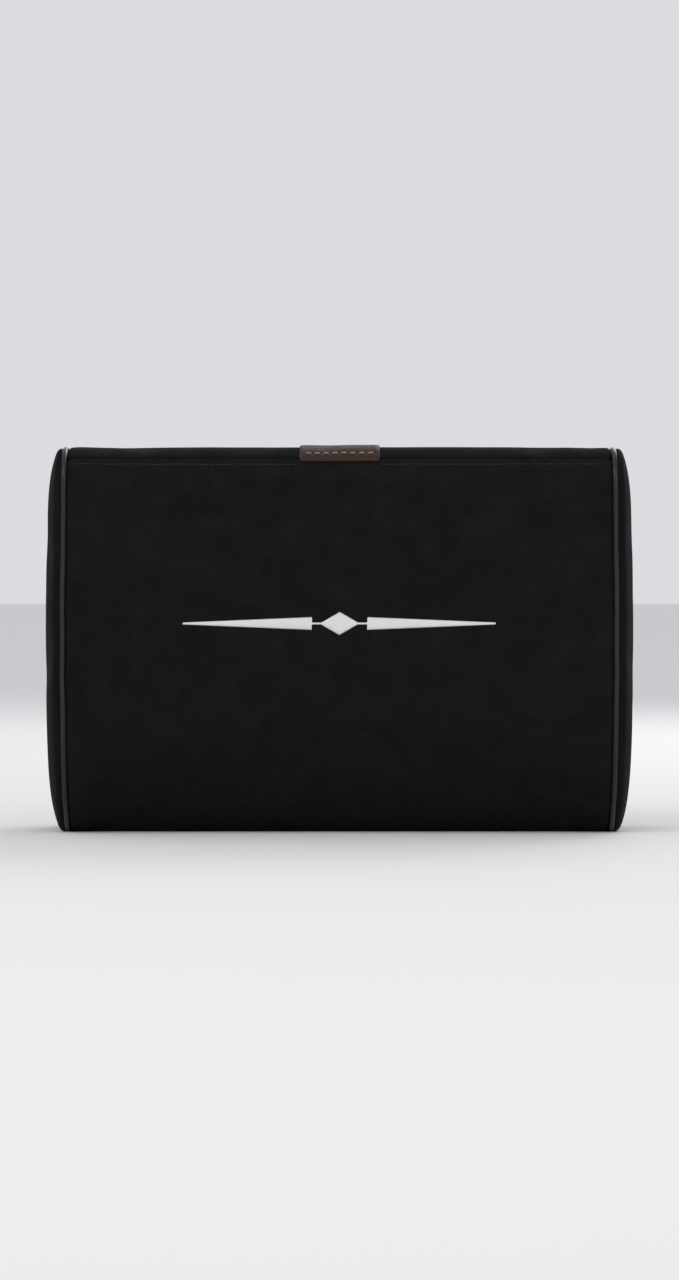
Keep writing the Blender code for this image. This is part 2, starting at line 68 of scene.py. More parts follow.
FRONT_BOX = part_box("front_panel")
UPPER_BACK_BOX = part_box("back_panel_upper")
LOWER_BACK_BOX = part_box("back_panel_lower")
RIGHT_END_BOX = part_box("right_end_panel")
PIPING_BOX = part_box("piping_right")
UPPER_TAPE_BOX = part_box("zip_tape_upper")
UPPER_TEETH_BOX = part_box("zip_teeth_upper")
CLOSED_STOP_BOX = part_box("zip_stop_closed_end")
SLIDER_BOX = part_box("zip_slider")
PULL_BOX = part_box("zip_pull")
TAB_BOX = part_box("leather_tab")
STITCHING_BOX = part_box("tab_stitching")
ORNAMENT_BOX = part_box("embroidered_motif")
LINER_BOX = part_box("core_liner")
CORE_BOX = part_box("foam_core")
PULL_AXIS = Vector(next(joint["pos_m"] for joint in frame["joints"] if joint["type"] == "hinge"))

FRONT_Y = FRONT_BOX[0].y
BACK_Y = UPPER_BACK_BOX[1].y
HEIGHT = UPPER_BACK_BOX[1].z
DEPTH = BACK_Y - FRONT_Y
CENTRE = Vector((0.0, (FRONT_Y + BACK_Y) / 2, HEIGHT / 2))
ZIP_LOW = LOWER_BACK_BOX[1].z
ZIP_HIGH = UPPER_BACK_BOX[0].z
ZIP_MIDDLE = (ZIP_LOW + ZIP_HIGH) / 2
BOTTOM_SEAM_Y = (FRONT_BOX[1].y + LOWER_BACK_BOX[0].y) / 2
SEAM_X = (PIPING_BOX[0].x + PIPING_BOX[1].x) / 2
PIPING_RADIUS = (PIPING_BOX[1].x - PIPING_BOX[0].x) / 2
END_X = RIGHT_END_BOX[1].x
END_RIM_INSET = HEIGHT - RIGHT_END_BOX[1].z


def length(label, default, description):
    return FloatProperty(name=label, description=description, default=default, min=0.0, unit="LENGTH")


def watts(label, default, description):
    return FloatProperty(name=label, description=description, default=default, min=0.0, unit="POWER")


def share(label, default, description):
    return FloatProperty(name=label, description=description, default=default, min=0.0, subtype="FACTOR")


def colour(label, default, description):
    return FloatVectorProperty(
        name=label, description=description, default=default, size=3, min=0.0, max=1.0, subtype="COLOR"
    )


class CoverSettings(bpy.types.PropertyGroup):
    top_front_radius: length("Top front radius", 20 * MM, "Corner between the crest and the front")
    top_back_radius: length("Top back radius", 16 * MM, "Corner between the crest and the back")
    bottom_back_radius: length("Bottom back radius", 14 * MM, "Corner between the base and the back")
    roll_depth: length("Roll depth", 40 * MM, "How far back the lower front rolls under")
    roll_height: length("Roll height", 64 * MM, "Where the front starts to roll under")
    top_seam_drop: length("Top seam drop", 5 * MM, "Top seam below the crest")
    cloth_thickness: length("Cloth thickness", 1.8 * MM, "Velour with its backing")
    cloth_step: length("Cloth step", 2.6 * MM, "Size of a cloth face")
    seam_roll: length("Seam roll", 2.0 * MM, "Radius of the cloth where it turns in at a seam")
    seam_gap: length("Seam gap", 0.0, "Between two panels that meet")
    seam_depth: length("Seam depth", 1.2 * MM, "Straight stretch below the roll")
    seam_bow: length("Seam bow", 1.0 * MM, "How far the end seams bow out at mid-height")
    swell_limit: length("Swell limit", 1.5 * MM, "The furthest that the stuffing pushes the cloth out")
    slack: length("Slack", 0.8 * MM, "How much smaller the cover is before it is stuffed")
    pressure: FloatProperty(
        name="Pressure", description="Push of the stuffing on the cloth", default=4.0, min=0.0
    )
    voxel: length("Voxel", 5 * MM, "Mesh size of the simulated body")
    end_bow: share("End bow", 0.2, "Share of the end's bulge lost towards its top and bottom")
    velour: colour("Velour", (0.0074, 0.0074, 0.0078), "Front and back cloth")
    # The ends are the same velour as the front, coloured darker: painted shade of the ends, which face away
    # from the light.
    end_velour: colour("End velour", (0.0060, 0.0060, 0.0064), "Cloth of the domed ends")


class PipingSettings(bpy.types.PropertyGroup):
    proud: length("Proud", 0.4 * MM, "How far the piping stands above the cover")
    step: length("Step", 1.0 * MM, "Length of one face along the piping")
    sides: IntProperty(name="Sides", description="Faces round the piping", default=12, min=6)
    allowance_depth: length("Allowance depth", 2.7 * MM, "Seam allowance below the cover's surface")
    allowance_in: length("Allowance inwards", 3.4 * MM, "Width of the allowance towards the middle")
    allowance_out: length("Allowance outwards", 1.5 * MM, "Width of the allowance towards the end")
    allowance_wall: length("Allowance wall", 0.4 * MM, "Thickness of the allowance")
    satin: colour("Satin", (0.008, 0.008, 0.0085), "Satin strip round the filler cord")


class ZipSettings(bpy.types.PropertyGroup):
    coil_pitch: length("Coil pitch", 1.5 * MM, "Length of one turn of the coil")
    filament: length("Filament radius", 0.33 * MM, "Radius of the nylon filament")
    centre_gap: length("Centre gap", 0.36 * MM, "Between the two coils, where the slider's web runs")
    web: length("Web", 0.24 * MM, "Thickness of the slider's web between the coils")
    tape_thickness: length("Tape thickness", 0.6 * MM, "Woven tape")
    end_half_width: length("End half width", 4.2 * MM, "Half width of the channel past the stops")
    plate: length("Plate", 1.2 * MM, "Thickness of the slider's plates")
    flange: length("Flange", 1.15 * MM, "Width of the top plate's flanges")
    axis_height: length("Axis height", 1.07 * MM, "The pull's axis above the top plate")
    crown_length: length("Crown length", 8.4 * MM, "Bridge over the pull's bar")
    crown_width: length("Crown width", 2.4 * MM, "Across the bridge")
    crown_wall: length("Crown wall", 0.85 * MM, "Thickness of the bridge")
    crown_bend: length("Crown bend", 1.3 * MM, "Outer radius of the bridge's corners")
    tape_colour: colour("Tape", (0.012, 0.012, 0.013), "Woven tape")
    coil_colour: colour("Coil", (0.018, 0.018, 0.020), "Nylon coil")
    enamel: colour("Enamel", (0.020, 0.020, 0.022), "Slider, pull and stops")


class TrimSettings(bpy.types.PropertyGroup):
    tab_thickness: length("Tab thickness", 1.0 * MM, "Leather")
    tab_lift: length("Tab lift", 0.15 * MM, "Between the cover and the tab")
    tab_corner: length("Tab corner", 2.2 * MM, "Radius of the tab's lower corners")
    tab_leather: colour("Leather", (0.040, 0.019, 0.011), "Brown leather")
    tab_thread: colour("Tab thread", (0.24, 0.20, 0.16), "Stitches on the tab")
    stitches: IntProperty(name="Tab stitches", description="Stitches across the tab", default=8, min=1)
    thread_pitch: length("Thread pitch", 0.36 * MM, "Between two threads of the satin stitch")
    thread_radius: length("Thread radius", 0.24 * MM, "Radius of one embroidery thread")
    ornament: colour("Ornament", (0.80, 0.80, 0.79), "Embroidery thread")
    seam_thread: colour("Seam thread", (0.012, 0.012, 0.013), "Sewing thread of the cover")
    seam_stitch: length("Seam stitch", 3.0 * MM, "Length of one stitch of the cover's seams")


class CoreSettings(bpy.types.PropertyGroup):
    foam: colour("Foam", (0.80, 0.74, 0.58), "Moulded memory foam")
    liner: colour("Liner", (0.74, 0.74, 0.72), "Knitted liner")
    liner_thickness: length("Liner thickness", 0.8 * MM, "Knitted cloth")


class StageSettings(bpy.types.PropertyGroup):
    distance: length("Camera distance", 2.5, "From the cushion's middle")
    rise: length("Camera rise", 33 * MM, "Camera above the cushion's middle")
    view_height: length("View height", 0.66, "Height of what the camera sees at the cushion")
    key_power: watts("Key power", 13.0, "Watts of the softbox at the front left")
    fill_power: watts("Fill power", 4.5, "Watts of the softbox at the front right")
    back_power: watts("Back power", 12.0, "Watts of the softbox behind")
    room_light: share("Room light", 0.74, "Brightness of the room all round")
    floor_reach: length("Floor reach", 20.0, "Half the floor's width")
    floor: colour("Floor", (0.80, 0.80, 0.80), "Pale floor")


SETTINGS = {
    "cushion_cover": CoverSettings,
    "cushion_piping": PipingSettings,
    "cushion_zip": ZipSettings,
    "cushion_trim": TrimSettings,
    "cushion_core": CoreSettings,
    "cushion_stage": StageSettings,
}


# Materials


def add_node(tree, kind, inputs=None, **attributes):
    """A new node. An input's value is a number, a colour or another node's output."""
    made = tree.nodes.new(kind)
    for name, value in attributes.items():
        setattr(made, name, value)
    for name, value in (inputs or {}).items():
        if isinstance(value, bpy.types.NodeSocket):
            tree.links.new(value, made.inputs[name])
        else:
            made.inputs[name].default_value = value
    return made


def calculate(tree, operation, first, second=0.0):
    made = add_node(tree, "ShaderNodeMath", {0: first, 1: second}, operation=operation)
    return made.outputs[0]


def spread(tree, value, low, high):
    """The value's range from low to high, stretched over 0 to 1."""
    made = add_node(tree, "ShaderNodeMapRange", {"Value": value, "From Min": low, "From Max": high})
    return made.outputs["Result"]


def start_group(name, inputs, outputs):
    """A new node group, and its input sockets by name."""
    made = bpy.data.node_groups.new(name, "ShaderNodeTree")
    kinds = {"Vector": "NodeSocketVector", "Colour": "NodeSocketColor"}
    for direction, labels in (("INPUT", inputs), ("OUTPUT", outputs)):
        for label in labels:
            kind = kinds.get(label, "NodeSocketFloat")
            made.interface.new_socket(name=label, in_out=direction, socket_type=kind)
    return made, add_node(made, "NodeGroupInput").outputs


def noise(tree, vector, scale, detail=3.0, roughness=0.5):
    inputs = {"Vector": vector, "Scale": scale, "Detail": detail, "Roughness": roughness}
    return add_node(tree, "ShaderNodeTexNoise", inputs).outputs["Fac"]


def colour_drift_group():
    """A colour that wanders a little lighter and darker over the surface."""
    tree, given = start_group("colour_drift", ("Colour", "Vector", "Scale", "Amount"), ("Colour",))
    patches = noise(tree, given["Vector"], given["Scale"], 4.0, 0.55)
    centred = calculate(tree, "SUBTRACT", patches, 0.5)
    swing = calculate(tree, "MULTIPLY", centred, given["Amount"])
    gain = calculate(tree, "ADD", swing, 1.0)
    scaled = vector_maths(tree, "SCALE", {0: given["Colour"], "Scale": gain})
    add_node(tree, "NodeGroupOutput", {"Colour": scaled})
    return tree


def pile_group():
    """Brushed pile: fine tufts, and soft patches where the nap leans another way."""
    tree, given = start_group("brushed_pile", ("Vector", "Tuft Scale", "Patch Scale"), ("Height", "Patches"))
    tufts = noise(tree, given["Vector"], given["Tuft Scale"], 2.0, 0.6)
    patches = noise(tree, given["Vector"], given["Patch Scale"], 5.0, 0.6)
    soft = calculate(tree, "MULTIPLY", patches, 0.35)
    height = calculate(tree, "ADD", tufts, soft)
    add_node(tree, "NodeGroupOutput", {"Height": height, "Patches": spread(tree, patches, 0.35, 0.65)})
    return tree


def weave_group():
    """Plain weave of two sets of threads: its height, and where the upright threads lie on top."""
    tree, given = start_group("plain_weave", ("Vector", "Threads"), ("Height", "Warp"))
    axes = add_node(tree, "ShaderNodeSeparateXYZ", {0: given["Vector"]}).outputs
    turns = calculate(tree, "MULTIPLY", given["Threads"], math.pi)
    along = calculate(tree, "MULTIPLY", axes["X"], turns)
    upright = calculate(tree, "ADD", axes["Z"], axes["Y"])
    across = calculate(tree, "MULTIPLY", upright, turns)
    product = calculate(tree, "MULTIPLY", calculate(tree, "SINE", along), calculate(tree, "SINE", across))
    height = calculate(tree, "ABSOLUTE", product)
    add_node(tree, "NodeGroupOutput", {"Height": height, "Warp": spread(tree, product, -0.3, 0.3)})
    return tree


def vector_maths(tree, operation, inputs):
    return add_node(tree, "ShaderNodeVectorMath", inputs, operation=operation).outputs[0]


def grain_group():
    """Pebbled grain of leather, foam and cast metal: cells with narrow creases between them."""
    tree, given = start_group("pebble_grain", ("Vector", "Scale"), ("Height", "Creases"))
    bend, crease_width = 0.4 * MM, 0.18
    bent = add_node(tree, "ShaderNodeTexNoise", {"Vector": given["Vector"], "Scale": given["Scale"]})
    pushed = vector_maths(tree, "SCALE", {0: bent.outputs["Color"], "Scale": bend})
    vector = vector_maths(tree, "ADD", {0: given["Vector"], 1: pushed})
    grid = {"Vector": vector, "Scale": given["Scale"]}
    cells = add_node(tree, "ShaderNodeTexVoronoi", grid, feature="DISTANCE_TO_EDGE")
    crease = spread(tree, cells.outputs["Distance"], 0.0, crease_width)
    add_node(tree, "NodeGroupOutput", {"Height": crease, "Creases": calculate(tree, "SUBTRACT", 1.0, crease)})
    return tree


def twist_group():
    """The slanted strands of a spun thread."""
    tree, given = start_group("thread_twist", ("Vector", "Strands"), ("Height",))
    strands = {"Vector": given["Vector"], "Scale": given["Strands"], "Distortion": 0.6, "Detail": 1.0}
    wave = add_node(tree, "ShaderNodeTexWave", strands, bands_direction="DIAGONAL")
    add_node(tree, "NodeGroupOutput", {"Height": wave.outputs["Fac"]})
    return tree


GROUP_MAKERS = {
    "colour_drift": colour_drift_group,
    "brushed_pile": pile_group,
    "plain_weave": weave_group,
    "pebble_grain": grain_group,
    "thread_twist": twist_group,
}


def use_group(tree, name, inputs):
    group = bpy.data.node_groups.get(name) or GROUP_MAKERS[name]()
    return add_node(tree, "ShaderNodeGroup", inputs, node_tree=group).outputs


def start_material(name, roughness, specular=0.5, metallic=0.0):
    """A new material, its tree, its shader and the piece's own coordinates."""
    made = bpy.data.materials.new(name)
    made.use_nodes = True
    tree = made.node_tree
    shader = tree.nodes["Principled BSDF"]
    shader.inputs["Roughness"].default_value = roughness
    shader.inputs["Specular IOR Level"].default_value = specular
    shader.inputs["Metallic"].default_value = metallic
    place = add_node(tree, "ShaderNodeTexCoord").outputs["Object"]
    return made, tree, shader, place


def bump(tree, shader, height, depth, strength=1.0, below=None):
    inputs = {"Height": height, "Distance": depth, "Strength": strength}
    if below is not None:
        inputs["Normal"] = below
    made = add_node(tree, "ShaderNodeBump", inputs)
    tree.links.new(made.outputs[0], shader.inputs["Normal"])
    return made.outputs[0]


def drift(tree, shade, place, scale, amount):
    inputs = {"Colour": (*shade, 1.0), "Vector": place, "Scale": scale, "Amount": amount}
    return use_group(tree, "colour_drift", inputs)["Colour"]


def set_sheen(shader, weight, roughness, tint):
    shader.inputs["Sheen Weight"].default_value = weight
    shader.inputs["Sheen Roughness"].default_value = roughness
    shader.inputs["Sheen Tint"].default_value = (*tint, 1.0)


def times(shade, gain):
    return tuple(value * gain for value in shade)


def two_tone(tree, shader, first, second, mask):
    """Colours the shader from the first colour to the second as the mask goes from 0 to 1."""
    blend = add_node(tree, "ShaderNodeMix", {0: mask, 6: first, 7: (*second, 1.0)}, data_type="RGBA")
    tree.links.new(blend.outputs[2], shader.inputs["Base Color"])


def vary_roughness(tree, shader, least, swing, mask):
    """Makes the shader rougher by `swing` as the mask goes from 0 to 1."""
    rougher = calculate(tree, "MULTIPLY", mask, swing)
    tree.links.new(calculate(tree, "ADD", rougher, least), shader.inputs["Roughness"])


def velour_material(name, shade, streaks):
    """Brushed velour. On the ends the nap lies in soft upright streaks."""
    made, tree, shader, place = start_material(name, 0.9, 0.04)
    set_sheen(shader, 0.012, 0.35, (0.9, 0.92, 1.0))
    stretch = (1.0, 1.0, 0.25) if streaks else (1.0, 1.0, 1.0)
    leaned = add_node(tree, "ShaderNodeMapping", {"Vector": place, "Scale": stretch}).outputs[0]
    pile = use_group(tree, "brushed_pile", {"Vector": place, "Tuft Scale": 2600.0, "Patch Scale": 55.0})
    nap = use_group(tree, "brushed_pile", {"Vector": leaned, "Tuft Scale": 420.0, "Patch Scale": 90.0})
    patches = calculate(tree, "MULTIPLY", nap["Patches"], 0.45)
    two_tone(tree, shader, drift(tree, shade, leaned, 28.0, 0.55), times(shade, 1.8), patches)
    vary_roughness(tree, shader, 0.78, 0.12, pile["Patches"])
    broad = bump(tree, shader, nap["Height"], 0.10 * MM, 0.3)
    bump(tree, shader, pile["Height"], 0.12 * MM, 0.6, broad)
    return made


def satin_material(name, shade):
    """Satin strip on the bias: fine slanted floats along its own UV map."""
    made, tree, shader, place = start_material(name, 0.30, 0.4)
    set_sheen(shader, 0.02, 0.3, (1.0, 1.0, 1.0))
    tree.links.new(drift(tree, shade, place, 60.0, 0.3), shader.inputs["Base Color"])
    strip = add_node(tree, "ShaderNodeUVMap", uv_map="strip").outputs[0]
    slant = {"Vector": strip, "Scale": 0.9, "Distortion": 0.4}
    floats = add_node(tree, "ShaderNodeTexWave", slant, bands_direction="DIAGONAL").outputs["Fac"]
    vary_roughness(tree, shader, 0.27, 0.10, floats)
    bump(tree, shader, floats, 0.03 * MM, 0.4)
    return made


def tape_material(name, shade):
    made, tree, shader, place = start_material(name, 0.75, 0.3)
    set_sheen(shader, 0.06, 0.4, (1.0, 1.0, 1.0))
    weave = use_group(tree, "plain_weave", {"Vector": place, "Threads": 2400.0})
    two_tone(tree, shader, drift(tree, shade, place, 90.0, 0.3), times(shade, 1.9), weave["Warp"])
    bump(tree, shader, weave["Height"], 0.10 * MM)
    return made


def nylon_material(name, shade):
    made, tree, shader, place = start_material(name, 0.32, 0.5)
    tree.links.new(drift(tree, shade, place, 140.0, 0.35), shader.inputs["Base Color"])
    scuffs = noise(tree, place, 900.0, 2.0)
    vary_roughness(tree, shader, 0.24, 0.2, scuffs)
    bump(tree, shader, scuffs, 0.02 * MM, 0.4)
    return made


def enamel_material(name, shade):
    """Black enamel on cast metal, thinned to bare metal in small scuffs."""
    made, tree, shader, place = start_material(name, 0.30, 0.5, 0.6)
    shader.inputs["Coat Weight"].default_value = 0.25
    shader.inputs["Coat Roughness"].default_value = 0.2
    scuffs = spread(tree, noise(tree, place, 500.0, 6.0, 0.7), 0.64, 0.76)
    bare_metal = (0.07, 0.07, 0.075)
    worn = calculate(tree, "MULTIPLY", scuffs, 0.5)
    two_tone(tree, shader, drift(tree, shade, place, 150.0, 0.3), bare_metal, worn)
    vary_roughness(tree, shader, 0.28, 0.2, scuffs)
    grain = use_group(tree, "pebble_grain", {"Vector": place, "Scale": 1800.0})
    bump(tree, shader, grain["Height"], 0.01 * MM, 0.3)
    return made


def leather_material(name, shade):
    """Full-grain leather, darker and rougher in its creases."""
    made, tree, shader, place = start_material(name, 0.6, 0.2)
    grain = use_group(tree, "pebble_grain", {"Vector": place, "Scale": 1900.0})
    creased = calculate(tree, "MULTIPLY", grain["Creases"], 0.5)
    two_tone(tree, shader, drift(tree, shade, place, 120.0, 0.7), times(shade, 0.35), creased)
    vary_roughness(tree, shader, 0.42, 0.25, grain["Creases"])
    bump(tree, shader, grain["Height"], 0.08 * MM, 0.7)
    return made


def thread_material(name, shade, roughness, strands=900.0, drift_amount=0.2):
    made, tree, shader, place = start_material(name, roughness, 0.4)
    set_sheen(shader, 0.15, 0.3, (1.0, 1.0, 1.0))
    tree.links.new(drift(tree, shade, place, 260.0, drift_amount), shader.inputs["Base Color"])
    twist = use_group(tree, "thread_twist", {"Vector": place, "Strands": strands})
    bump(tree, shader, twist["Height"], 0.05 * MM, 0.6)
    return made


def foam_material(name, shade):
    """Open-cell foam, darker in its pores."""
    made, tree, shader, place = start_material(name, 0.9, 0.2)
    cells = use_group(tree, "pebble_grain", {"Vector": place, "Scale": 900.0})
    pores = calculate(tree, "MULTIPLY", cells["Creases"], 0.5)
    two_tone(tree, shader, drift(tree, shade, place, 18.0, 0.18), times(shade, 0.6), pores)
    bump(tree, shader, cells["Height"], 0.2 * MM, 0.7)
    return made


def knit_material(name, shade):
    made, tree, shader, place = start_material(name, 0.85, 0.3)
    set_sheen(shader, 0.2, 0.4, (1.0, 1.0, 1.0))
    loops = use_group(tree, "plain_weave", {"Vector": place, "Threads": 900.0})
    two_tone(tree, shader, drift(tree, shade, place, 25.0, 0.12), times(shade, 0.75), loops["Warp"])
    bump(tree, shader, loops["Height"], 0.25 * MM, 0.8)
    return made


def floor_material(name, shade):
    made, tree, shader, place = start_material(name, 0.9, 0.2)
    tree.links.new(drift(tree, shade, place, 1.5, 0.02), shader.inputs["Base Color"])
    return made


# Ways of making and finishing a piece


def add_piece(name, bm, surface, nodes, body=ROOT_BODY, sharp_degrees=None):
    """Turns the bmesh into a shown piece that stands for its CAD nodes."""
    mesh = bpy.data.meshes.new(name)
    bm.to_mesh(mesh)
    bm.free()
    mesh.materials.append(surface)
    mesh.shade_smooth()
    if sharp_degrees is not None:
        mesh.set_sharp_from_angle(angle=math.radians(sharp_degrees))
    piece = bpy.data.objects.new(name, mesh)
    bpy.context.scene.collection.objects.link(piece)
    if nodes:
        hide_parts(*nodes)
    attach(piece, body)
    return piece


def thicken(piece, thickness, outwards=False):
    wall = piece.modifiers.new("thickness", "SOLIDIFY")
    wall.thickness = thickness
    wall.offset = 1.0 if outwards else -1.0
    return piece


def round_off(piece, levels=1):
    rounding = piece.modifiers.new("rounding", "SUBSURF")
    rounding.levels = levels
    rounding.render_levels = levels
    return piece


def spin(bm, geom, steps, turn=0.0, step=(0.0, 0.0, 0.0), centre=(0.0, 0.0, 0.0), axis=(1.0, 0.0, 0.0)):
    """Carries geometry on, turning about an axis and moving by a step each time. Returns its last copy."""
    return bmesh.ops.spin(
        bm, geom=geom, cent=centre, axis=axis, dvec=step, angle=turn, steps=steps, use_duplicate=False
    )["geom_last"]


def draw_on(bm, vert, steps, turn=0.0, centre=(0.0, 0.0, 0.0), move=(0.0, 0.0, 0.0)):
    """Draws on from a vertex, as an arc about an X axis or a straight run, and returns the new vertices."""
    before = len(bm.verts)
    spin(bm, [vert], steps, turn, Vector(move) / steps, centre)
    return list(bm.verts)[before:]


def everything(bm):
    return bm.verts[:] + bm.edges[:] + bm.faces[:]


def along_x(bm, verts, edges, distance, steps, turn=0.0):
    """Carries verts and edges along X, turning about it on the way if asked."""
    spin(bm, verts + edges, steps, turn, (distance / steps, 0.0, 0.0))


def extrude_rim(bm, edges):
    """Draws edges out in place, and returns the new edges and the new vertices."""
    grown = bmesh.ops.extrude_edge_only(bm, edges=edges)["geom"]
    fresh = {item for item in grown if isinstance(item, bmesh.types.BMVert)}
    rim = [item for item in grown if isinstance(item, bmesh.types.BMEdge) and set(item.verts) <= fresh]
    return rim, fresh


def child_of(vert, fresh):
    """The new vertex that was drawn out of this one."""
    return next(edge.other_vert(vert) for edge in vert.link_edges if edge.other_vert(vert) in fresh)


def top_seam_angle():
    """How far the top seam lies past the crest, on the top front corner."""
    cover = bpy.context.scene.cushion_cover
    return math.acos((cover.top_front_radius - cover.top_seam_drop) / cover.top_front_radius)


def outline_moves():
    """The body's outline from the top seam, down the front and round.

    Each move is a run (its way) or an arc (its centre, angle, tallness and radius).
    """
    cover = bpy.context.scene.cushion_cover
    front, back, base = cover.top_front_radius, cover.top_back_radius, cover.bottom_back_radius
    quarter = math.pi / 2
    seam = top_seam_angle()
    corner = (FRONT_Y + front, HEIGHT - front)
    roll = (FRONT_Y + cover.roll_depth, cover.roll_height)
    return {
        "top_front": ("arc", corner, quarter - seam, 1.0, front),
        "front": ("run", (0.0, cover.roll_height + front - HEIGHT)),
        "roll": ("arc", roll, quarter, cover.roll_height / cover.roll_depth, cover.roll_depth),
        "base_front": ("run", (BOTTOM_SEAM_Y - roll[0], 0.0)),
        "base_back": ("run", (BACK_Y - base - BOTTOM_SEAM_Y, 0.0)),
        "bottom_back": ("arc", (BACK_Y - base, base), quarter, 1.0, base),
        "back_low": ("run", (0.0, ZIP_LOW - base)),
        "zip": ("run", (0.0, ZIP_HIGH - ZIP_LOW)),
        "back_high": ("run", (0.0, HEIGHT - back - ZIP_HIGH)),
        "top_back": ("arc", (BACK_Y - back, HEIGHT - back), quarter, 1.0, back),
        "crest": ("run", (corner[0] - BACK_Y + back, 0.0)),
        "crest_front": ("arc", corner, seam, 1.0, front),
    }


def trace(bm, x, start, moves, step):
    """Draws a chain of vertices at x through the moves, about one step apart."""
    chain = [bm.verts.new((x, *start))]
    for move in moves:
        if move[0] == "run":
            distance = Vector(move[1])
            steps = max(1, round(distance.length / step))
            chain += draw_on(bm, chain[-1], steps, move=(0.0, *distance))
        else:
            centre, angle, tall, radius = move[1:]
            steps = max(2, round(angle * radius * math.sqrt(tall) / step))
            fresh = draw_on(bm, chain[-1], steps, angle, (x, *centre))
            away = Matrix.Translation((0.0, -centre[0], -centre[1]))
            bmesh.ops.scale(bm, vec=(1.0, 1.0, tall), space=away, verts=fresh)
            chain += fresh
    return chain


def seam_point(past=0.0):
    """A point on the top front corner, past the top seam by an angle."""
    radius = bpy.context.scene.cushion_cover.top_front_radius
    angle = top_seam_angle() + past
    return FRONT_Y + radius - radius * math.sin(angle), HEIGHT - radius + radius * math.cos(angle)


def with_groove(moves, floor, half):
    """The outline's moves with a groove for the zip: its floor's y, and half its height."""
    cover = bpy.context.scene.cushion_cover
    low, high = ZIP_MIDDLE - half, ZIP_MIDDLE + half
    changed = {
        "back_low": [("run", (0.0, low - cover.bottom_back_radius))],
        "zip": [("run", (floor - BACK_Y, 0.0)), ("run", (0.0, high - low)), ("run", (BACK_Y - floor, 0.0))],
        "back_high": [("run", (0.0, HEIGHT - cover.top_back_radius - high))],
    }
    return [part for name, move in moves.items() for part in changed.get(name, [move])]


def whole_outline(bm, x, step, groove=None):
    """The body's closed outline at x as a loop of vertices, plain or with a groove for the zip."""
    moves = outline_moves()
    path = with_groove(moves, *groove) if groove else moves.values()
    chain = trace(bm, x, seam_point(), path, step)
    bmesh.ops.pointmerge(bm, verts=[chain[0], chain[-1]], merge_co=chain[0].co)
    return [vert for vert in chain if vert.is_valid]


def inset_scale(inset):
    """The scaling about the body's middle that draws its outline in by `inset`."""
    return 1.0 - 2.0 * inset / DEPTH, 1.0 - 2.0 * inset / HEIGHT


def draw_in(bm, verts, inset):
    across, upright = inset_scale(inset)
    bmesh.ops.scale(bm, vec=(1.0, across, upright), space=Matrix.Translation(-CENTRE), verts=verts)


def edges_between(verts):
    inside = set(verts)
    return list({edge for vert in verts for edge in vert.link_edges if edge.other_vert(vert) in inside})


def bulge_share(inset):
    """Share of the end's bulge reached at a distance in from its rim."""
    reach, steepness, fullness = 34.0 * MM, 2.2, 0.58
    left = max(0.0, 1.0 - inset / reach)
    return (1.0 - left**steepness) ** fullness


def fade(distance, width):
    """1 at no distance, falling off smoothly past the width."""
    return math.exp(-((distance / width) ** 2))


def smooth_step(value, low, high):
    """0 below low, 1 above high, and an eased rise between them."""
    t = min(1.0, max(0.0, (value - low) / (high - low)))
    return t * t * (3.0 - 2.0 * t)


def upright_bow(z):
    """1 at mid-height, falling off towards the top and the base."""
    off = (z - HEIGHT / 2) / (HEIGHT / 2)
    return 1.0 - off * off


DOME_INSETS_MM = (0.7, 1.6, 3.0, 5.0, 8.0, 12.0, 17.0, 23.0, 30.0, 37.0, 43.0, 46.0)


def dome(bm, rim, side, rise, rim_inset):
    """Closes a loop of vertices with a domed D-shaped end."""
    end_bow = bpy.context.scene.cushion_cover.end_bow
    rim_x = abs(rim[0].co.x)
    edges = edges_between(rim)
    last_inset = rim_inset
    for inset in (value * MM for value in DOME_INSETS_MM):
        edges, verts = extrude_rim(bm, edges)
        now, before = inset_scale(rim_inset + inset), inset_scale(last_inset)
        ratio = (1.0, now[0] / before[0], now[1] / before[1])
        bmesh.ops.scale(bm, vec=ratio, space=Matrix.Translation(-CENTRE), verts=list(verts))
        last_inset = rim_inset + inset
        for vert in verts:
            low_share = 1.0 - end_bow * (1.0 - upright_bow(vert.co.z))
            vert.co.x = side * (rim_x + rise * bulge_share(inset) * low_share)
    cap = bmesh.ops.contextual_create(bm, geom=edges)["faces"]
    bmesh.ops.triangulate(bm, faces=cap)


def face_outwards(bm):
    """Turns an open sheet so that its faces point away from the body's middle."""
    bmesh.ops.recalc_face_normals(bm, faces=bm.faces)
    largest = max(bm.faces, key=lambda face: face.calc_area())
    if largest.normal.dot(largest.calc_center_median() - CENTRE) < 0.0:
        bmesh.ops.reverse_faces(bm, faces=bm.faces)
    bm.normal_update()


def domed_body(bm, step, rim_x, rise, inset, groove=None, right_end=True):
    """A closed D-shaped body with domed ends, or one left open at its right end."""
    rim = whole_outline(bm, -rim_x, step, groove)
    draw_in(bm, rim, inset)
    edges = edges_between(rim)
    along_x(bm, rim, edges, 2 * rim_x, round(2 * rim_x / step))
    dome(bm, [vert for vert in bm.verts if vert.co.x < -rim_x + NEAR], -1.0, rise, inset)
    if right_end:
        dome(bm, [vert for vert in bm.verts if vert.co.x > rim_x - NEAR], 1.0, rise, inset)
    face_outwards(bm)


# Cloth


def apply_modifiers(body):
    graph = bpy.context.evaluated_depsgraph_get()
    applied = bpy.data.meshes.new_from_object(body.evaluated_get(graph))
    body.modifiers.clear()
    body.data = applied


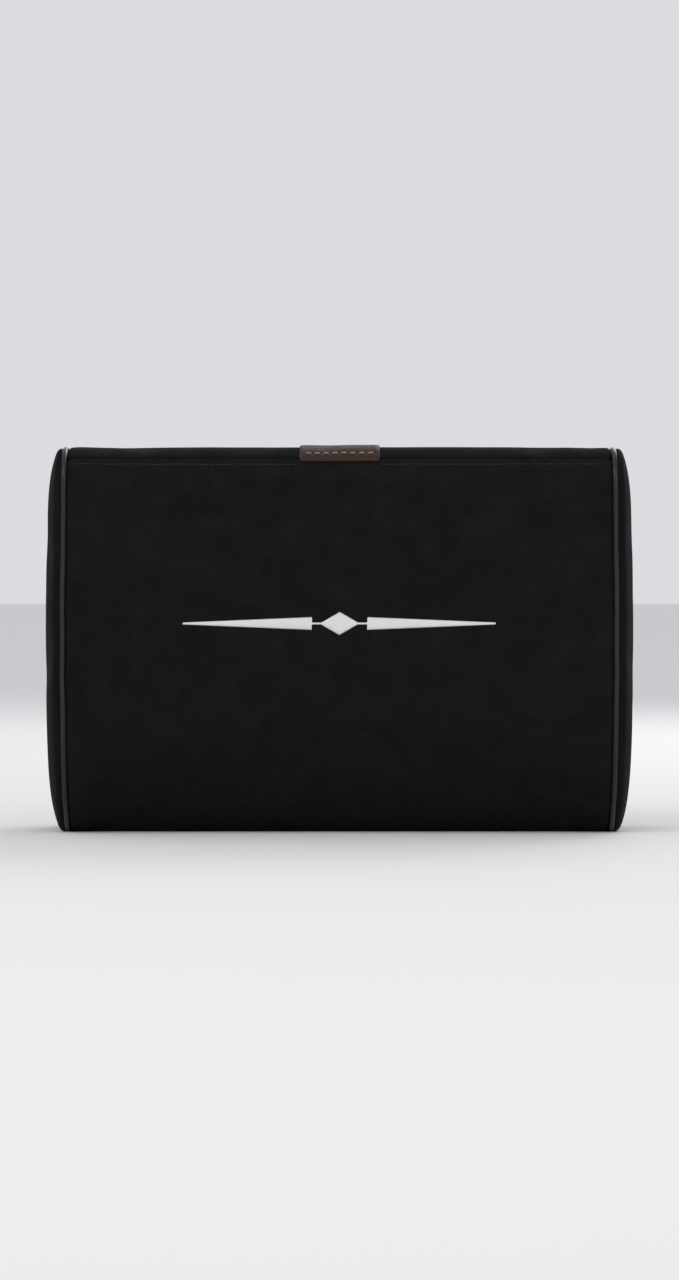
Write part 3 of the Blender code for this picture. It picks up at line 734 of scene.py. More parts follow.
class Swell:
    """How far the stuffing pushes the cover out at each place, from a simulated closed body."""

    frames = 20
    # Each push is smoothed over this many places, and mostly over those within the distance.
    neighbours = 24
    smoothing = 7 * MM
    # The cloth has no slack at its seams, and all of it beyond this distance.
    slack_reach = 12 * MM
    # What the cushion stands on holds the cloth below this height.
    resting_height = 2 * MM
    # This close to the flat back, only a share of the push is left.
    back_depth = 6 * MM
    back_share = 0.4

    def __init__(self):
        self.tree = None
        self.moves = []

    def seam_distance(self, point):
        top = Vector(seam_point())
        section = Vector((point.y, point.z))
        distances = [abs(abs(point.x) - SEAM_X), (section - top).length]
        distances.append((section - Vector((BOTTOM_SEAM_Y, 0.0))).length)
        distances.append((section - Vector((BACK_Y, min(max(section.y, ZIP_LOW), ZIP_HIGH)))).length)
        return min(distances)

    def simulate(self):
        cover = bpy.context.scene.cushion_cover
        bm = bmesh.new()
        domed_body(bm, cover.voxel, SEAM_X, END_X - SEAM_X, 0.0)
        mesh = bpy.data.meshes.new("stuffed_body")
        bm.to_mesh(mesh)
        bm.free()
        body = bpy.data.objects.new("stuffed_body", mesh)
        bpy.context.scene.collection.objects.link(body)
        even = body.modifiers.new("even", "REMESH")
        even.mode = "VOXEL"
        even.voxel_size = cover.voxel
        apply_modifiers(body)
        rest = [vert.co.copy() for vert in body.data.vertices]
        pins = body.vertex_groups.new(name="seams")
        for index, point in enumerate(rest):
            hold = 1.0 if point.z < self.resting_height else fade(self.seam_distance(point), cover.voxel)
            pins.add([index], hold, "REPLACE")
        cloth = body.modifiers.new("cloth", "CLOTH")
        cloth.settings.quality = 6
        cloth.settings.mass = 0.25
        cloth.settings.tension_stiffness = 12.0
        cloth.settings.compression_stiffness = 12.0
        cloth.settings.shear_stiffness = 4.0
        cloth.settings.bending_stiffness = 0.4
        cloth.settings.shrink_min = -0.025
        cloth.settings.use_pressure = True
        cloth.settings.uniform_pressure_force = cover.pressure
        cloth.settings.vertex_group_mass = "seams"
        cloth.settings.effector_weights.gravity = 0.0
        cloth.collision_settings.use_collision = False
        for number in range(1, self.frames + 1):
            bpy.context.scene.frame_set(number)
        apply_modifiers(body)
        self.tree = KDTree(len(rest))
        for index, (point, vert) in enumerate(zip(rest, body.data.vertices)):
            self.tree.insert(point, index)
            self.moves.append(vert.co - point)
        self.tree.balance()
        bpy.context.scene.frame_set(1)
        bpy.data.objects.remove(body)

    def at(self, point):
        """The push at a point, smoothed over its neighbours, capped, and small where the cushion rests."""
        if self.tree is None:
            return Vector((0.0, 0.0, 0.0))
        least_weight = 1e-6
        total, weights = Vector((0.0, 0.0, 0.0)), 0.0
        for _, index, distance in self.tree.find_n(point, self.neighbours):
            weight = fade(distance, self.smoothing) + least_weight
            total += self.moves[index] * weight
            weights += weight
        push = total / weights
        limit = bpy.context.scene.cushion_cover.swell_limit
        push *= limit / math.sqrt(limit**2 + push.length_squared)
        if point.y > BACK_Y - self.back_depth:
            push.y *= self.back_share
        push.z = max(push.z, -point.z)
        return push

    def stuffed(self, point, normal):
        """How far the cloth ends up from its plain shape: pushed out, less the slack that it starts with."""
        push = self.at(point)
        if self.tree is not None and point.z > MM:
            free = 1.0 - fade(self.seam_distance(point), self.slack_reach)
            push -= normal * bpy.context.scene.cushion_cover.slack * free
        return push


swell = Swell()


def settle(bm):
    """Bows the end seams out a little and lets the stuffing swell the cloth."""
    bow = bpy.context.scene.cushion_cover.seam_bow
    for vert in bm.verts:
        push = swell.stuffed(vert.co, vert.normal)
        aside = bow * upright_bow(vert.co.z) * vert.co.x / END_X
        vert.co += push
        vert.co.x += aside
    bm.normal_update()


def turn_edges_in(bm, roll, depth, deeper=None):
    """Rolls a sheet's open edges inwards, as cloth turns in at a seam, then runs them straight down."""
    rim = [vert for vert in bm.verts if vert.is_boundary]
    edges = [edge for edge in bm.edges if edge.is_boundary]
    ways = {}
    for vert in rim:
        away = Vector((0.0, 0.0, 0.0))
        for edge in vert.link_edges:
            away -= (edge.other_vert(vert).co - vert.co).normalized()
        away -= vert.normal * away.dot(vert.normal)
        if len(vert.link_edges) > 2:
            away.normalize()
        ways[vert] = (vert.co.copy(), away, vert.normal.copy())
    turned = (0.4, 0.8, 1.2, math.pi / 2)
    rows = [(roll * math.sin(angle), roll * (1.0 - math.cos(angle))) for angle in turned]
    rows.append((roll, roll + depth))
    for number, (out, down) in enumerate(rows):
        edges, fresh = extrude_rim(bm, edges)
        moved = {}
        for vert, (place, away, normal) in ways.items():
            child = child_of(vert, fresh)
            extra = deeper(place) if deeper and number == len(rows) - 1 else 0.0
            child.co = place + away * out - normal * (down + extra)
            moved[child] = (place, away, normal)
        ways = moved
    bm.normal_update()


def sink_along(bm, line, width, depth):
    """Presses a shallow groove along a line of stitches, given as a point of the cross-section."""
    for vert in bm.verts:
        distance = (Vector((vert.co.y, vert.co.z)) - line).length
        vert.co -= vert.normal * depth * fade(distance, width)


def channel_half(x):
    """Half the zip channel's width at x: full over the teeth, less past the stops, shut at the seams."""
    full = (ZIP_HIGH - ZIP_LOW) / 2
    shut = 0.3 * MM
    reach = abs(x)
    pull_end = PULL_BOX[1].x + (CLOSED_STOP_BOX[1].x - PULL_BOX[0].x) * 0.7
    taper = smooth_step(reach, CLOSED_STOP_BOX[0].x, pull_end)
    half = full + (bpy.context.scene.cushion_zip.end_half_width - full) * taper
    close = smooth_step(reach, SEAM_X - 6.0 * MM, SEAM_X - 2.0 * MM)
    return half + (shut - half) * close


def close_channel(bm):
    """Draws the back panels together over the ends of the zip."""
    full = (ZIP_HIGH - ZIP_LOW) / 2
    back_depth, reach = 10 * MM, 22.0 * MM
    for vert in bm.verts:
        off = vert.co.z - ZIP_MIDDLE
        distance = abs(off) - full
        if vert.co.y < BACK_Y - back_depth or distance > reach:
            continue
        pull = (full - channel_half(vert.co.x)) * (1.0 - smooth_step(distance, 0.0, reach))
        vert.co.z -= math.copysign(pull, off)


def panel_sheet(start, moves):
    """A long panel before its edges are turned in: its cross-section carried along X."""
    cover = bpy.context.scene.cushion_cover
    half = SEAM_X - PIPING_RADIUS - cover.seam_gap - cover.seam_roll
    bm = bmesh.new()
    chain = trace(bm, -half, start, moves, cover.cloth_step)
    along_x(bm, chain, edges_between(chain), 2 * half, round(2 * half / cover.cloth_step))
    face_outwards(bm)
    return bm


def shortened(move, less):
    """The same run or arc, shorter by a distance."""
    if move[0] == "run":
        way = Vector(move[1])
        return ("run", tuple(way * (1.0 - less / way.length)))
    kind, centre, angle, tall, radius = move
    return (kind, centre, angle - less / radius, tall, radius)


def stitch_line_top():
    """Where the row of stitches runs, just below the top seam."""
    below_seam = 4.5 * MM
    return Vector(seam_point(below_seam / bpy.context.scene.cushion_cover.top_front_radius))


def front_panel_mesh(trim):
    moves = outline_moves()
    radius = bpy.context.scene.cushion_cover.top_front_radius
    path = [shortened(moves["top_front"], trim), moves["front"], moves["roll"]]
    path.append(shortened(moves["base_front"], trim))
    return panel_sheet(seam_point(trim / radius), path)


def lower_back_mesh(trim):
    moves = outline_moves()
    path = [shortened(moves["base_back"], trim), moves["bottom_back"], shortened(moves["back_low"], trim)]
    return panel_sheet((BOTTOM_SEAM_Y + trim, 0.0), path)


def upper_back_mesh(trim):
    moves = outline_moves()
    path = [shortened(moves["back_high"], trim), moves["top_back"], moves["crest"]]
    path.append(shortened(moves["crest_front"], trim))
    return panel_sheet((BACK_Y, ZIP_HIGH + trim), path)


def end_panel_mesh(side):
    cover = bpy.context.scene.cushion_cover
    rim_x = SEAM_X + PIPING_RADIUS + cover.seam_gap + cover.seam_roll
    bm = bmesh.new()
    rim = whole_outline(bm, side * rim_x, cover.cloth_step)
    draw_in(bm, rim, END_RIM_INSET)
    rise = END_X - rim_x - cover.seam_bow - (cover.swell_limit - cover.slack)
    dome(bm, rim, side, rise, END_RIM_INSET)
    face_outwards(bm)
    return bm


def to_tape(place):
    """How much further a panel's edge runs in beside the zip, to meet the tape."""
    cover = bpy.context.scene.cushion_cover
    above_tape, band_height, back_depth = 0.3 * MM, 4 * MM, 6 * MM
    beside_zip = abs(place.z - ZIP_MIDDLE) < (ZIP_HIGH - ZIP_LOW) / 2 + band_height
    if not beside_zip or place.y <= BACK_Y - back_depth:
        return 0.0
    depth = BACK_Y - UPPER_TAPE_BOX[1].y - cover.seam_roll - cover.seam_depth - above_tape
    return depth * (1.0 - smooth_step(abs(place.x), SEAM_X - 12 * MM, SEAM_X - 6 * MM))


def sew_panel(name, bm, surface, is_end):
    cover = bpy.context.scene.cushion_cover
    settle(bm)
    if not is_end:
        close_channel(bm)
        bm.normal_update()
        sink_along(bm, stitch_line_top(), width=1.2 * MM, depth=0.25 * MM)
    turn_edges_in(bm, cover.seam_roll, cover.seam_depth, None if is_end else to_tape)
    piece = add_piece(name + "_cloth", bm, surface, [name])
    round_off(thicken(piece, cover.cloth_thickness))


class CUSHION_OT_cover(bpy.types.Operator):
    """Sew the five velour panels of the cover"""

    bl_idname = "cushion.cover"
    bl_label = "Cover Panels"

    def execute(self, context):
        cover = context.scene.cushion_cover
        swell.simulate()
        trim = cover.seam_gap / 2 + cover.seam_roll
        velour = velour_material("black_velour", cover.velour, False)
        # The ends' velour is coloured darker than the front's as painted shade.
        end_velour = velour_material("black_end_velour", cover.end_velour, True)
        sew_panel("front_panel", front_panel_mesh(trim), velour, False)
        sew_panel("back_panel_lower", lower_back_mesh(trim), velour, False)
        sew_panel("back_panel_upper", upper_back_mesh(trim), velour, False)
        sew_panel("left_end_panel", end_panel_mesh(-1.0), end_velour, True)
        sew_panel("right_end_panel", end_panel_mesh(1.0), end_velour, True)
        return {"FINISHED"}


# Piping


def outward_ways(ring):
    """The direction away from the body's middle at each vertex of its outline."""
    ways = []
    for index in range(len(ring)):
        along = ring[(index + 1) % len(ring)].co - ring[index - 1].co
        ways.append(Vector((0.0, along.z, -along.y)).normalized())
    return ways


def grow_loops(bm, ring, count):
    """The ring and copies of it, each joined to the one before: the rows of a cord's skin."""
    loops = [ring]
    edges = edges_between(ring)
    while len(loops) < count:
        edges, fresh = extrude_rim(bm, edges)
        loops.append([child_of(vert, fresh) for vert in loops[-1]])
    return loops


def piping_mesh(side):
    """A satin-covered cord round the body's outline, with a UV map that follows it."""
    settings = bpy.context.scene.cushion_piping
    bow = bpy.context.scene.cushion_cover.seam_bow
    pucker, pucker_length = 0.03, 3.1 * MM
    bm = bmesh.new()
    ring = whole_outline(bm, side * SEAM_X, settings.step)
    count = len(ring)
    outward = outward_ways(ring)
    places = [vert.co.copy() for vert in ring]
    sunk = settings.proud - PIPING_RADIUS
    middles = [place + swell.at(place) + way * sunk for place, way in zip(places, outward)]
    travelled = [0.0]
    for index in range(count):
        travelled.append(travelled[-1] + (places[(index + 1) % count] - places[index]).length)
    loops = grow_loops(bm, ring, settings.sides)
    for number, loop in enumerate(loops):
        angle = 2.0 * math.pi * number / settings.sides
        for vert, middle, way, run in zip(loop, middles, outward, travelled):
            ease = pucker * math.sin(run / pucker_length + 2.0 * angle)
            radius = PIPING_RADIUS * (1.0 + ease * max(0.0, math.cos(angle)))
            vert.co = middle + way * radius * math.cos(angle)
            vert.co.x += side * (radius * math.sin(angle) + bow * upright_bow(middle.z) * SEAM_X / END_X)
            vert.co.z = max(vert.co.z, 0.0)
    bmesh.ops.bridge_loops(bm, edges=edges_between(loops[0]) + edges_between(loops[-1]))
    lay_strip_map(bm, loops, travelled, settings.sides)
    add_allowance(bm, side)
    bmesh.ops.recalc_face_normals(bm, faces=bm.faces)
    return bm


def add_allowance(bm, side):
    """The seam allowances that lie inside the cover under the piping, as one flat band."""
    settings = bpy.context.scene.cushion_piping
    band = bmesh.new()
    ring = whole_outline(band, side * (SEAM_X + settings.allowance_out), 3 * settings.step)
    draw_in(band, ring, settings.allowance_depth)
    across = -side * (settings.allowance_out + settings.allowance_in)
    along_x(band, ring, edges_between(ring), across, 3)
    face_outwards(band)
    bmesh.ops.solidify(band, geom=everything(band), thickness=settings.allowance_wall)
    join_in(bm, band)


def lay_strip_map(bm, loops, travelled, sides):
    """A UV map in millimetres: along the cord, and round it."""
    strip = bm.loops.layers.uv.new("strip")
    where = {}
    for number, loop in enumerate(loops):
        for index, vert in enumerate(loop):
            where[vert] = (index, number)
    count = len(loops[0])
    around = 2.0 * math.pi * PIPING_RADIUS / MM / sides
    for face in bm.faces:
        spots = [where[corner.vert] for corner in face.loops]
        wraps_long = max(spot[0] for spot in spots) - min(spot[0] for spot in spots) > 1
        wraps_round = max(spot[1] for spot in spots) - min(spot[1] for spot in spots) > 1
        for corner, (index, number) in zip(face.loops, spots):
            position = travelled[count] if wraps_long and index == 0 else travelled[index]
            row = sides if wraps_round and number == 0 else number
            corner[strip].uv = (position / MM, row * around)


class CUSHION_OT_piping(bpy.types.Operator):
    """Lay the satin piping in both end seams"""

    bl_idname = "cushion.piping"
    bl_label = "Piping"

    def execute(self, context):
        satin = satin_material("piping_satin", context.scene.cushion_piping.satin)
        add_piece("piping_left_satin", piping_mesh(-1.0), satin, ["piping_left"])
        add_piece("piping_right_satin", piping_mesh(1.0), satin, ["piping_right"])
        return {"FINISHED"}


# Zip


def block(bm, low, high):
    """A box between two corners, as new vertices."""
    low, high = Vector(low), Vector(high)
    size = high - low
    place = Matrix.Translation((low + high) / 2) @ Matrix.Diagonal((*size, 1.0))
    return bmesh.ops.create_cube(bm, size=1.0, matrix=place)["verts"]


def soften(bm, edges, width, segments=2):
    bmesh.ops.bevel(
        bm,
        geom=edges,
        offset=width,
        affect="EDGES",
        segments=segments,
        profile=0.5,
        material=-1,
        clamp_overlap=True,
    )


def tape_mesh(upper):
    """A woven tape that dips between its edges and waves a little along its outer one."""
    low, high = UPPER_TAPE_BOX
    inner, outer = bpy.context.scene.cushion_zip.centre_gap / 2, high.z - ZIP_MIDDLE
    dip, wave, wave_length = 0.12 * MM, 0.05 * MM, 9.0 * MM
    steps_across, steps_along = 12, 110
    bm = bmesh.new()
    start = bm.verts.new((low.x, high.y, ZIP_MIDDLE + inner))
    chain = [start] + draw_on(bm, start, steps_across, move=(0.0, 0.0, outer - inner))
    along_x(bm, chain, edges_between(chain), high.x - low.x, steps_along)
    for vert in bm.verts:
        across = (vert.co.z - ZIP_MIDDLE - inner) / (outer - inner)
        vert.co.y -= dip * math.sin(across * math.pi) ** 2
        vert.co.y += wave * math.sin(vert.co.x / wave_length) * across
    if not upper:
        about_zip = Matrix.Translation((0.0, 0.0, -ZIP_MIDDLE))
        bmesh.ops.scale(bm, vec=(1.0, 1.0, -1.0), space=about_zip, verts=bm.verts)
    bmesh.ops.recalc_face_normals(bm, faces=bm.faces)
    if next(iter(bm.faces)).normal.y < 0.0:
        bmesh.ops.reverse_faces(bm, faces=bm.faces)
    return bm


def coil_mesh(upper):
    """One continuous nylon coil: a filament spun round and along, then flattened."""
    settings = bpy.context.scene.cushion_zip
    low, high = UPPER_TEETH_BOX
    pitch = settings.coil_pitch
    turn_steps, doublings = 10, 3
    turns = int((high.x - low.x) / pitch / 2**doublings)
    inner = settings.centre_gap / 2
    half_width = (high.z - ZIP_MIDDLE - inner) / 2
    half_height = (high.y - low.y) / 2
    side = 1.0 if upper else -1.0
    bm = bmesh.new()
    whole = turns * pitch * 2**doublings
    start_x = (low.x + high.x - whole) / 2 + side * pitch / 4
    section = bmesh.ops.create_circle(bm, segments=6, radius=settings.filament, cap_ends=False)["verts"]
    stand = Matrix.Translation((start_x, half_height - settings.filament, 0.0))
    bmesh.ops.transform(bm, matrix=stand, verts=section)
    around = 2.0 * math.pi * turns
    along_x(bm, section, edges_between(section), turns * pitch, turn_steps * turns, around)
    for number in range(doublings):
        copied = bmesh.ops.duplicate(bm, geom=everything(bm))["geom"]
        moved = [item for item in copied if isinstance(item, bmesh.types.BMVert)]
        bmesh.ops.translate(bm, vec=(turns * pitch * 2**number, 0.0, 0.0), verts=moved)
        joint = [vert for vert in bm.verts if vert.is_boundary]
        bmesh.ops.remove_doubles(bm, verts=joint, dist=NEAR / 10)
    bmesh.ops.holes_fill(bm, edges=[edge for edge in bm.edges if edge.is_boundary], sides=8)
    bmesh.ops.scale(bm, vec=(1.0, 1.0, side * half_width / half_height), verts=bm.verts)
    middle = (0.0, (low.y + high.y) / 2, ZIP_MIDDLE + side * (inner + half_width))
    bmesh.ops.translate(bm, vec=middle, verts=bm.verts)
    bmesh.ops.recalc_face_normals(bm, faces=bm.faces)
    return bm


def join_in(bm, part):
    """Moves a small bmesh's shape into a large one."""
    mesh = bpy.data.meshes.new("part")
    part.to_mesh(mesh)
    part.free()
    bm.from_mesh(mesh)
    bpy.data.meshes.remove(mesh)


def add_stitch(bm, start, end, radius, sides, sag, down=Vector((0.0, -1.0, 0.0))):
    """A plump thread between two points. Its ends dip by `sag` in the direction `down`."""
    middle, along = (start + end) / 2, end - start
    way, half = along.normalized(), along.length / 2
    turn = along.to_track_quat("Z", "Y").to_matrix().to_4x4()
    place = Matrix.Translation(middle) @ turn @ Matrix.Diagonal((radius, radius, half, 1.0))
    thread = bmesh.new()
    plain = bmesh.ops.create_uvsphere(thread, u_segments=sides, v_segments=6, radius=1.0, matrix=place)
    for vert in plain["verts"]:
        reach = (vert.co - middle).dot(way)
        out = abs(reach) / half
        on_axis = middle + way * reach
        if out < 0.999:
            plump = math.sqrt((1.0 - out**6) / (1.0 - out**2))
            vert.co = on_axis + (vert.co - on_axis) * plump
        vert.co += down * sag * out**2
    join_in(bm, thread)


def coil_thread_mesh(upper):
    """Two rows of short threads that sew the coil to its tape, one thread over each turn."""
    low, high = UPPER_TEETH_BOX
    pitch = bpy.context.scene.cushion_zip.coil_pitch
    side = 1.0 if upper else -1.0
    y = high.y - 0.05 * MM
    bm = bmesh.new()
    for row in (1.55 * MM, 2.25 * MM):
        for number in range(int((high.x - low.x) / pitch) - 1):
            start = Vector((low.x + pitch + number * pitch, y, ZIP_MIDDLE + side * row))
            end = start + Vector((pitch * 0.86, 0.0, 0.0))
            add_stitch(bm, start, end, radius=0.16 * MM, sides=5, sag=0.18 * MM)
    return bm


def stop_mesh(side):
    """A crimped metal clip over both coils, with a pressed groove across it."""
    low, high = CLOSED_STOP_BOX
    middle = (low + high) / 2
    corner_radius, groove_depth, groove_width = 0.45 * MM, 0.25 * MM, 0.45 * MM
    slices, slice_width = 9, 0.2 * MM
    bm = bmesh.new()
    soften(bm, edges_between(block(bm, low, high)), corner_radius, 3)
    for number in range(slices):
        place = (middle.x + (number - slices // 2) * slice_width, 0.0, 0.0)
        bmesh.ops.bisect_plane(bm, geom=everything(bm), plane_co=place, plane_no=(1.0, 0.0, 0.0))
    for vert in bm.verts:
        if vert.co.y > middle.y:
            vert.co.y -= groove_depth * fade(vert.co.x - middle.x, groove_width)
    if side < 0:
        bmesh.ops.scale(bm, vec=(-1.0, 1.0, 1.0), verts=bm.verts)
    bmesh.ops.recalc_face_normals(bm, faces=bm.faces)
    return bm


def slider_mesh():
    """The cast slider: flanged top plate, web, bottom plate and the crown that holds the pull."""
    settings = bpy.context.scene.cushion_zip
    low, high = SLIDER_BOX
    half = (high.z - low.z) / 2
    top_outer = PULL_AXIS.y - settings.axis_height
    top_inner = top_outer - settings.plate
    floor_high = low.y + settings.plate
    flange_in = half - settings.flange
    flange_low = UPPER_TEETH_BOX[0].y + 0.05 * MM
    web = settings.web / 2
    nose_taper, plate_camber, edge_radius, sharp_angle = 0.55 * MM, 0.35 * MM, 0.22 * MM, 0.8
    right = [
        (top_outer, half),
        (flange_low, half),
        (flange_low, flange_in),
        (top_inner, flange_in),
        (top_inner, web),
        (floor_high, web),
        (floor_high, half),
        (low.y, half),
    ]
    points = right + [(y, -z) for y, z in reversed(right)]
    bm = bmesh.new()
    ring = [bm.verts.new((low.x, y, ZIP_MIDDLE + z)) for y, z in points]
    edges = [bm.edges.new((vert, ring[index - 1])) for index, vert in enumerate(ring)]
    along_x(bm, ring, edges, high.x - low.x, 6)
    bmesh.ops.holes_fill(bm, edges=[edge for edge in bm.edges if edge.is_boundary], sides=0)
    for vert in bm.verts:
        along = (vert.co.x - low.x) / (high.x - low.x)
        off = vert.co.z - ZIP_MIDDLE
        if abs(off) > half - NEAR:
            vert.co.z -= math.copysign(nose_taper * (1.0 - smooth_step(along, 0.0, 0.75)), off)
        if vert.co.y > top_outer - NEAR:
            vert.co.y -= plate_camber * abs(2.0 * along - 1.0) ** 3
    bmesh.ops.recalc_face_normals(bm, faces=bm.faces)
    soften(bm, [edge for edge in bm.edges if edge.calc_face_angle(0.0) > sharp_angle], edge_radius)
    join_in(bm, crown_mesh(top_outer))
    return bm


def crown_mesh(foot):
    """The bridge over the pull's bar: a flat-topped arch with both feet sunk in the top plate."""
    settings = bpy.context.scene.cushion_zip
    half, bend = settings.crown_length / 2, settings.crown_bend
    sunk = foot - settings.crown_wall / 2
    shoulder = SLIDER_BOX[1].y - bend
    bm = bmesh.new()
    sides = (-settings.crown_width / 2, settings.crown_width / 2)
    ends = [bm.verts.new((PULL_AXIS.x - half, sunk, ZIP_MIDDLE + z)) for z in sides]
    front = [*ends, bm.edges.new(ends)]
    front = sweep_on(bm, front, (0.0, shoulder - sunk, 0.0))
    front = sweep_on(bm, front, centre=(PULL_AXIS.x - half + bend, shoulder, 0.0), steps=5)
    front = sweep_on(bm, front, (2 * (half - bend), 0.0, 0.0))
    front = sweep_on(bm, front, centre=(PULL_AXIS.x + half - bend, shoulder, 0.0), steps=5)
    sweep_on(bm, front, (0.0, sunk - shoulder, 0.0))
    bmesh.ops.recalc_face_normals(bm, faces=bm.faces)
    flat = max(bm.faces, key=lambda face: face.calc_center_median().y)
    if flat.normal.y < 0.0:
        bmesh.ops.reverse_faces(bm, faces=bm.faces)
    bm.normal_update()
    bmesh.ops.solidify(bm, geom=everything(bm), thickness=settings.crown_wall)
    bmesh.ops.recalc_face_normals(bm, faces=bm.faces)
    return bm


def sweep_on(bm, front, move=(0.0, 0.0, 0.0), centre=(0.0, 0.0, 0.0), steps=1):
    """Carries an edge on, straight or by a quarter turn about an axis along Z, and returns the new edge."""
    turn = 0.0 if any(move) else -math.pi / 2
    return spin(bm, front, steps, turn, Vector(move) / steps, centre, axis=(0.0, 0.0, 1.0))


def pull_mesh():
    """The pull: an eye round the crown, a waisted plate, and a raised rim round its grip."""
    low, high = PULL_BOX
    half = (high.z - low.z) / 2
    eye_near = PULL_AXIS.x - 0.6 * MM
    eye_far = eye_near - 4.9 * MM
    eye_half = 1.5 * MM
    waist, grip_start, grip_end = eye_far - 1.6 * MM, low.x + 7.0 * MM, low.x + 1.2 * MM
    grip_reach = low.x + 9.0 * MM
    rim_width, rim_height, edge_radius, sharp_angle = 0.55 * MM, 0.3 * MM, 0.18 * MM, 0.5
    narrowing = {high.x: 0.86, waist: 0.78, low.x: 0.72}
    bm = bmesh.new()
    grid = []
    for x in (high.x, eye_near, eye_far, waist, grip_start, grip_end, low.x):
        wide = half * narrowing.get(x, 1.0)
        grid.append([bm.verts.new((x, low.y, ZIP_MIDDLE + z)) for z in (-wide, -eye_half, eye_half, wide)])
    for row, (near, far) in enumerate(zip(grid, grid[1:])):
        for column in range(3):
            is_eye = row == 1 and column == 1
            if not is_eye:
                bm.faces.new((near[column], near[column + 1], far[column + 1], far[column]))
    grown = bmesh.ops.extrude_face_region(bm, geom=list(bm.faces))["geom"]
    top = [item for item in grown if isinstance(item, bmesh.types.BMVert)]
    bmesh.ops.translate(bm, vec=(0.0, high.y - low.y, 0.0), verts=top)
    bmesh.ops.recalc_face_normals(bm, faces=bm.faces)
    upper = [face for face in bm.faces if face.normal.y > 0.9]
    grip = [face for face in upper if grip_end < face.calc_center_median().x < grip_reach]
    bmesh.ops.inset_region(bm, faces=grip, thickness=rim_width, depth=0.0)
    bmesh.ops.translate(bm, vec=(0.0, -rim_height, 0.0), verts=list({v for face in grip for v in face.verts}))
    soften(bm, [edge for edge in bm.edges if edge.calc_face_angle(0.0) > sharp_angle], edge_radius)
    return bm


class CUSHION_OT_zip(bpy.types.Operator):
    """Fit the tapes, coils, end stops, slider and pull"""

    bl_idname = "cushion.zip"
    bl_label = "Zip"

    def execute(self, context):
        settings = context.scene.cushion_zip
        tape = tape_material("zip_tape_weave", settings.tape_colour)
        nylon = nylon_material("zip_coil_nylon", settings.coil_colour)
        enamel = enamel_material("zip_enamel", settings.enamel)
        thread = thread_material("zip_sewing_thread", settings.tape_colour, 0.6)
        for name, upper in (("upper", True), ("lower", False)):
            node = f"zip_tape_{name}"
            strip = add_piece(f"{node}_woven", tape_mesh(upper), tape, [node])
            thicken(strip, settings.tape_thickness)
            add_piece(f"zip_coil_{name}", coil_mesh(upper), nylon, [f"zip_teeth_{name}"])
            add_piece(f"zip_coil_thread_{name}", coil_thread_mesh(upper), thread, [])
        for name, side in (("closed_end", 1.0), ("open_end", -1.0)):
            node = f"zip_stop_{name}"
            add_piece(f"{node}_clip", stop_mesh(side), enamel, [node], sharp_degrees=40.0)
        add_piece("zip_slider_cast", slider_mesh(), enamel, ["zip_slider"], "slider", 35.0)
        add_piece("zip_pull_plate", pull_mesh(), enamel, ["zip_pull"], "pull", 35.0)
        return {"FINISHED"}


# Trim


def surface_under(names):
    """The finished outer cloth of these pieces, as something to cast rays at."""
    graph = bpy.context.evaluated_depsgraph_get()
    verts, faces = [], []
    for name in names:
        mesh = bpy.data.objects[name].evaluated_get(graph).to_mesh()
        start = len(verts)
        verts += [vert.co.copy() for vert in mesh.vertices]
        faces += [[start + index for index in face.vertices] for face in mesh.polygons]
    return BVHTree.FromPolygons(verts, faces)


def lay_on(cloth, point, towards):
    """The cloth's surface where a ray from outside through the point meets it."""
    run_up, reach = 15 * MM, 40 * MM
    hit = cloth.ray_cast(point - towards * run_up, towards, reach)[0]
    return point.copy() if hit is None else hit


def tab_corner():
    """The middle of the top front corner, which the tab folds over."""
    radius = bpy.context.scene.cushion_cover.top_front_radius
    return Vector((0.0, FRONT_Y + radius, HEIGHT - radius))


def tab_row():
    """The height of the tab's row of stitches, and the distance from one stitch to the next."""
    both_margins = 4.7 * MM
    height = (STITCHING_BOX[0].z + STITCHING_BOX[1].z) / 2
    return height, (TAB_BOX[1].x - TAB_BOX[0].x - both_margins) / bpy.context.scene.cushion_trim.stitches


def tab_mesh():
    """A strip of leather over the top seam, pressed in along its stitches and at its edges."""
    settings = bpy.context.scene.cushion_trim
    low, high = TAB_BOX
    corner = tab_corner()
    inner = bpy.context.scene.cushion_cover.top_front_radius + settings.tab_lift
    lowest = math.acos((low.z - corner.z) / (inner + settings.tab_thickness / 2))
    steps_across, step_down = 54, 0.6 * MM
    edge_press, row_press, hole_press = 0.28 * MM, 0.12 * MM, 0.22 * MM
    bm = bmesh.new()
    moves = [("run", (corner.y - high.y, 0.0)), ("arc", (corner.y, corner.z), lowest, 1.0, inner)]
    chain = trace(bm, low.x, (high.y, corner.z + inner), moves, step_down)
    along_x(bm, chain, edges_between(chain), high.x - low.x, steps_across)
    face_outwards(bm)
    row, pitch = tab_row()
    row_angle = math.acos((row - corner.z) / (inner + settings.tab_thickness))
    for vert in bm.verts:
        angle = math.atan2(corner.y - vert.co.y, vert.co.z - corner.z)
        from_row = (angle - row_angle) * inner
        from_side = min(vert.co.x - low.x, high.x - vert.co.x)
        place = (vert.co.x / pitch + settings.stitches / 2) % 1.0
        from_hole = min(place, 1.0 - place) * pitch
        press = edge_press * fade(from_side, 0.9 * MM) + row_press * fade(from_row, 0.8 * MM)
        press += hole_press * fade(from_hole, 0.5 * MM) * fade(from_row, 0.7 * MM)
        vert.co += swell.stuffed(vert.co, vert.normal) - vert.normal * press
        short = max(0.0, settings.tab_corner - (lowest - angle) * inner)
        cut = settings.tab_corner - math.sqrt(max(0.0, settings.tab_corner**2 - short**2))
        vert.co.x *= 1.0 - cut / high.x
    return bm


